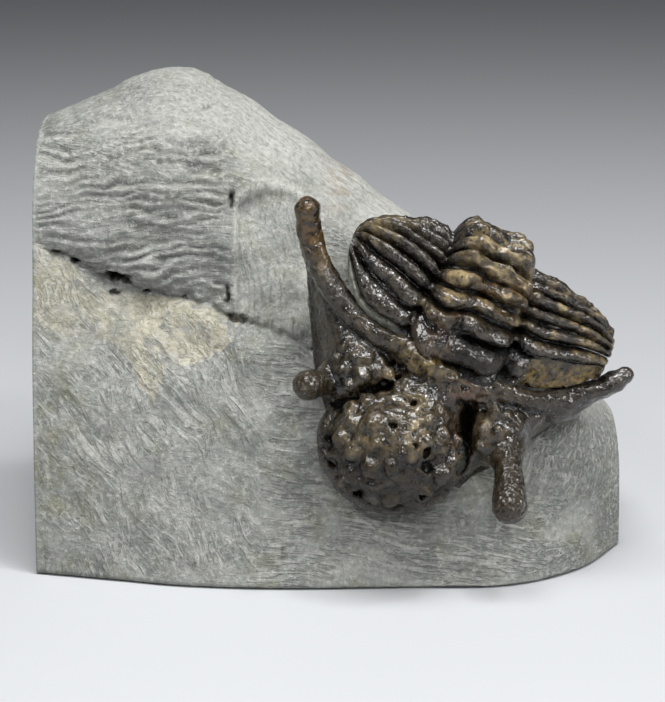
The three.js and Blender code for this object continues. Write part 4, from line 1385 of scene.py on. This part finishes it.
def block_fields(p):
    """Where the block has its tool marks, stains and pits, and where light and shade are painted on it."""
    x, y, z = p[:, 0], p[:, 1], p[:, 2]
    jag = 1.2 * noise(p, 3.5, 44, 2)
    below = ramp(x, JOINT) - z
    front = step(-y, -22, -12) * step(22 - y, 0, 4) * step(x - BLOCK_LEFT, 0.15, 0.6)
    fields = {}
    rest = front
    channel = channel_mask(x, z)
    left = step(-x + jag, 5, 8) * step(below, 0, 1)
    masks = {
        "upright": channel + step(x, -9, -8) * step(-x, 0, 2) * step(z, 22, 24) * step(38 - z, 0, 1),
        "rows": step(-x + jag, 8.3, 9) * step(-below, 0, 0.6) * (1 - 0.8 * step(z + 2 * jag, 35, 41)),
        # The slope area is also where light is painted on the top.
        "slope": step(x, -30, -6) * step(z - 37.5 + 0.72 * np.maximum(x + 8, -2) + jag, 0, 4),
        "bend": step(x, 17, 22) * step(24 - z + jag, 0, 3) * step(z + jag, 6, 10),
        "diagonal": left * step(noise(p, (6, 6, 3.4), 45, 2), -0.15, 0.25),
        "steep": left * step(noise(p, (4, 4, 4), 46, 2), 0, 0.3),
        "level": step(noise(p, (6, 6, 3), 47, 2), -0.5, 0.1) * (1 - 0.7 * left),
    }
    for name, mask in masks.items():
        fields[name] = rest * np.clip(mask, 0, 1)
        rest = rest - fields[name]
    ragged = 0.35 * jag + 0.5 * noise(p, 1, 48, 2)
    wedge = step(z - ramp(x, CREAM_EDGE) + ragged, -0.15, 0.25) * step(below, 0.05, 0.35) * step(-x, 7, 8)
    fields["cream"] = 1.25 * wedge * front * (0.55 + 0.45 * step(x, -21, -16))
    fields["lip"] = front * np.clip(4 * channel * (1 - channel), 0, 1) * step(x, -10, -8) * step(z, 24, 30)
    # Painted shade in the strokes' troughs and a painted highlight, with powder, on their ridges.
    strokes = stroke_relief(x, z) * front
    fields["ridge"] = step(strokes, 0.03, 0.3)
    fields["trough_shade"] = step(-strokes, 0.03, 0.3)
    stain_x, stain_z, wide, tall = BROWN_STAIN
    stain = np.exp(-(oval(x - stain_x, z - stain_z, wide, tall) ** 2))
    fields["brown"] = 0.6 * stain * step(noise(p, 1.2, 42, 2), -0.3, 0.6)
    patches = step(noise(p, (5, 5, 4), 43, 3), 0.0, 0.5)
    edge = step(-x, 19, 26) * step(below, 0, 1)
    fields["green"] = np.clip(0.6 * patches + 0.8 * edge * step(noise(p, 3, 49, 2), -0.6, 0.3), 0, 1)
    # Near-black painted shade inside the pits, and a dark scar near the foot.
    dark = 0.6 * front * bell(x - SCAR[0], 0.16) * step(0.9 - np.abs(z - SCAR[1]), 0, 0.4)
    warp = 0.5 * noise(p * [1, 0, 1], 0.8, 8, 2)
    for pit_x, pit_z, wide, tall, _ in PITS:
        reach = oval(x - pit_x, z - pit_z, wide, tall) + warp
        dark = np.maximum(dark, front * step(1.05 - reach, 0, 0.35))
    fields["dark"] = dark
    # Painted shade on the rock round the animal and inside its curl.
    across, along, height = moved(ANIMAL.inverted(), p).T
    around = np.hypot(along, height)
    fields["curl_shade"] = 0.75 * step(9.5 - around, 0, 2) * step(-y, 3, 6) * step(14.5 - np.abs(across), 0, 1)
    return fields


def build_block(material):
    obj = new_object("matrix_block_rock", *block_mesh())
    cores = []
    for name, maker, axes in (("core_rock", core_mesh, ANIMAL), ("head_core_rock", head_core_mesh, HEAD)):
        points, faces = maker()
        cores.append(new_object(name, moved(axes, points), faces))
    union(obj, cores)
    add_fields(obj, block_fields(design_points(obj)))
    finish_piece(obj, "matrix_block", material)


def build_animal(material):
    pieces = {f"thoracic_segment_{k:02d}": (ANIMAL, *segment_mesh(k)) for k in range(1, SEGMENTS + 1)}
    pieces["pygidium"] = (ANIMAL, *pygidium_mesh())
    pieces["cephalon"] = (HEAD, *head_mesh())
    for node, (axes, points, faces, fields) in pieces.items():
        obj = new_object(node + "_shell", moved(axes, points), faces)
        add_fields(obj, fields)
        finish_piece(obj, node, material)


# ---- Stage, camera and light ----

VIEW_TILT = 14 * DEG  # the camera looks down by this much
VIEW_DISTANCE = 220
AIM = np.array([0.85, -5, 21])
SENSOR = 36  # millimetres from top to bottom
LENS = 112.82
FLOOR_HALF = 3.0  # metres, as are the lamps' places and sizes
LAMP_AIM = Vector((0, 0, 0.022))
SMALL = (0.045, 0.045)
# Lamps: name, place, size and watts. The small ones only make highlights on the shell.
LAMPS = [
    ("key_above", (0.0, -0.10, 0.40), (0.28, 0.20), 1.95),
    ("fill_right", (0.38, -0.24, 0.22), (0.12, 0.24), 0.95),
    ("fill_left", (-0.42, -0.26, 0.20), (0.10, 0.24), 0.12),
    ("spark_0", (0.20, -0.22, 0.30), SMALL, 0.28),
    ("spark_1", (-0.20, -0.26, 0.26), SMALL, 0.28),
    ("spark_2", (0.02, -0.33, 0.20), SMALL, 0.28),
    ("spark_3", (0.10, -0.05, 0.38), SMALL, 0.28),
]


def make_stage(material):
    data = bpy.data.meshes.new("floor")
    corners = [(FLOOR_HALF * x, FLOOR_HALF * y, 0) for x, y in ((-1, -1), (1, -1), (1, 1), (-1, 1))]
    data.from_pydata(corners, [], [(0, 1, 2, 3)])
    floor = bpy.data.objects.new("floor", data)
    bpy.context.scene.collection.objects.link(floor)
    data.materials.append(material)


def make_camera():
    data = bpy.data.cameras.new("camera")
    data.sensor_fit = "VERTICAL"
    data.sensor_height = SENSOR
    data.lens = LENS
    data.clip_start = 0.01
    camera = bpy.data.objects.new("camera", data)
    back = np.array([0, -math.cos(VIEW_TILT), math.sin(VIEW_TILT)])
    camera.location = (AIM + VIEW_DISTANCE * back + SHIFT) * MM
    camera.rotation_euler = (math.pi / 2 - VIEW_TILT, 0, 0)
    bpy.context.scene.collection.objects.link(camera)
    bpy.context.scene.camera = camera


def make_lamp(name, place, size, watts):
    data = bpy.data.lights.new(name, "AREA")
    data.shape = "RECTANGLE"
    data.size, data.size_y = size
    data.energy = watts
    lamp = bpy.data.objects.new(name, data)
    lamp.location = place
    lamp.rotation_euler = (LAMP_AIM - Vector(place)).to_track_quat("-Z", "Y").to_euler()
    bpy.context.scene.collection.objects.link(lamp)


def make_world():
    world = bpy.data.worlds.new("studio")
    bpy.context.scene.world = world
    world.use_nodes = True
    background = world.node_tree.nodes["Background"]
    background.inputs["Color"].default_value = (0.62, 0.65, 0.70, 1)
    background.inputs["Strength"].default_value = 0.13


make_camera()
make_world()
bpy.context.scene.view_settings.view_transform = "Standard"
for lamp in LAMPS:
    make_lamp(*lamp)
make_stage(floor_material())
build_block(limestone_material())
build_animal(fossil_material())
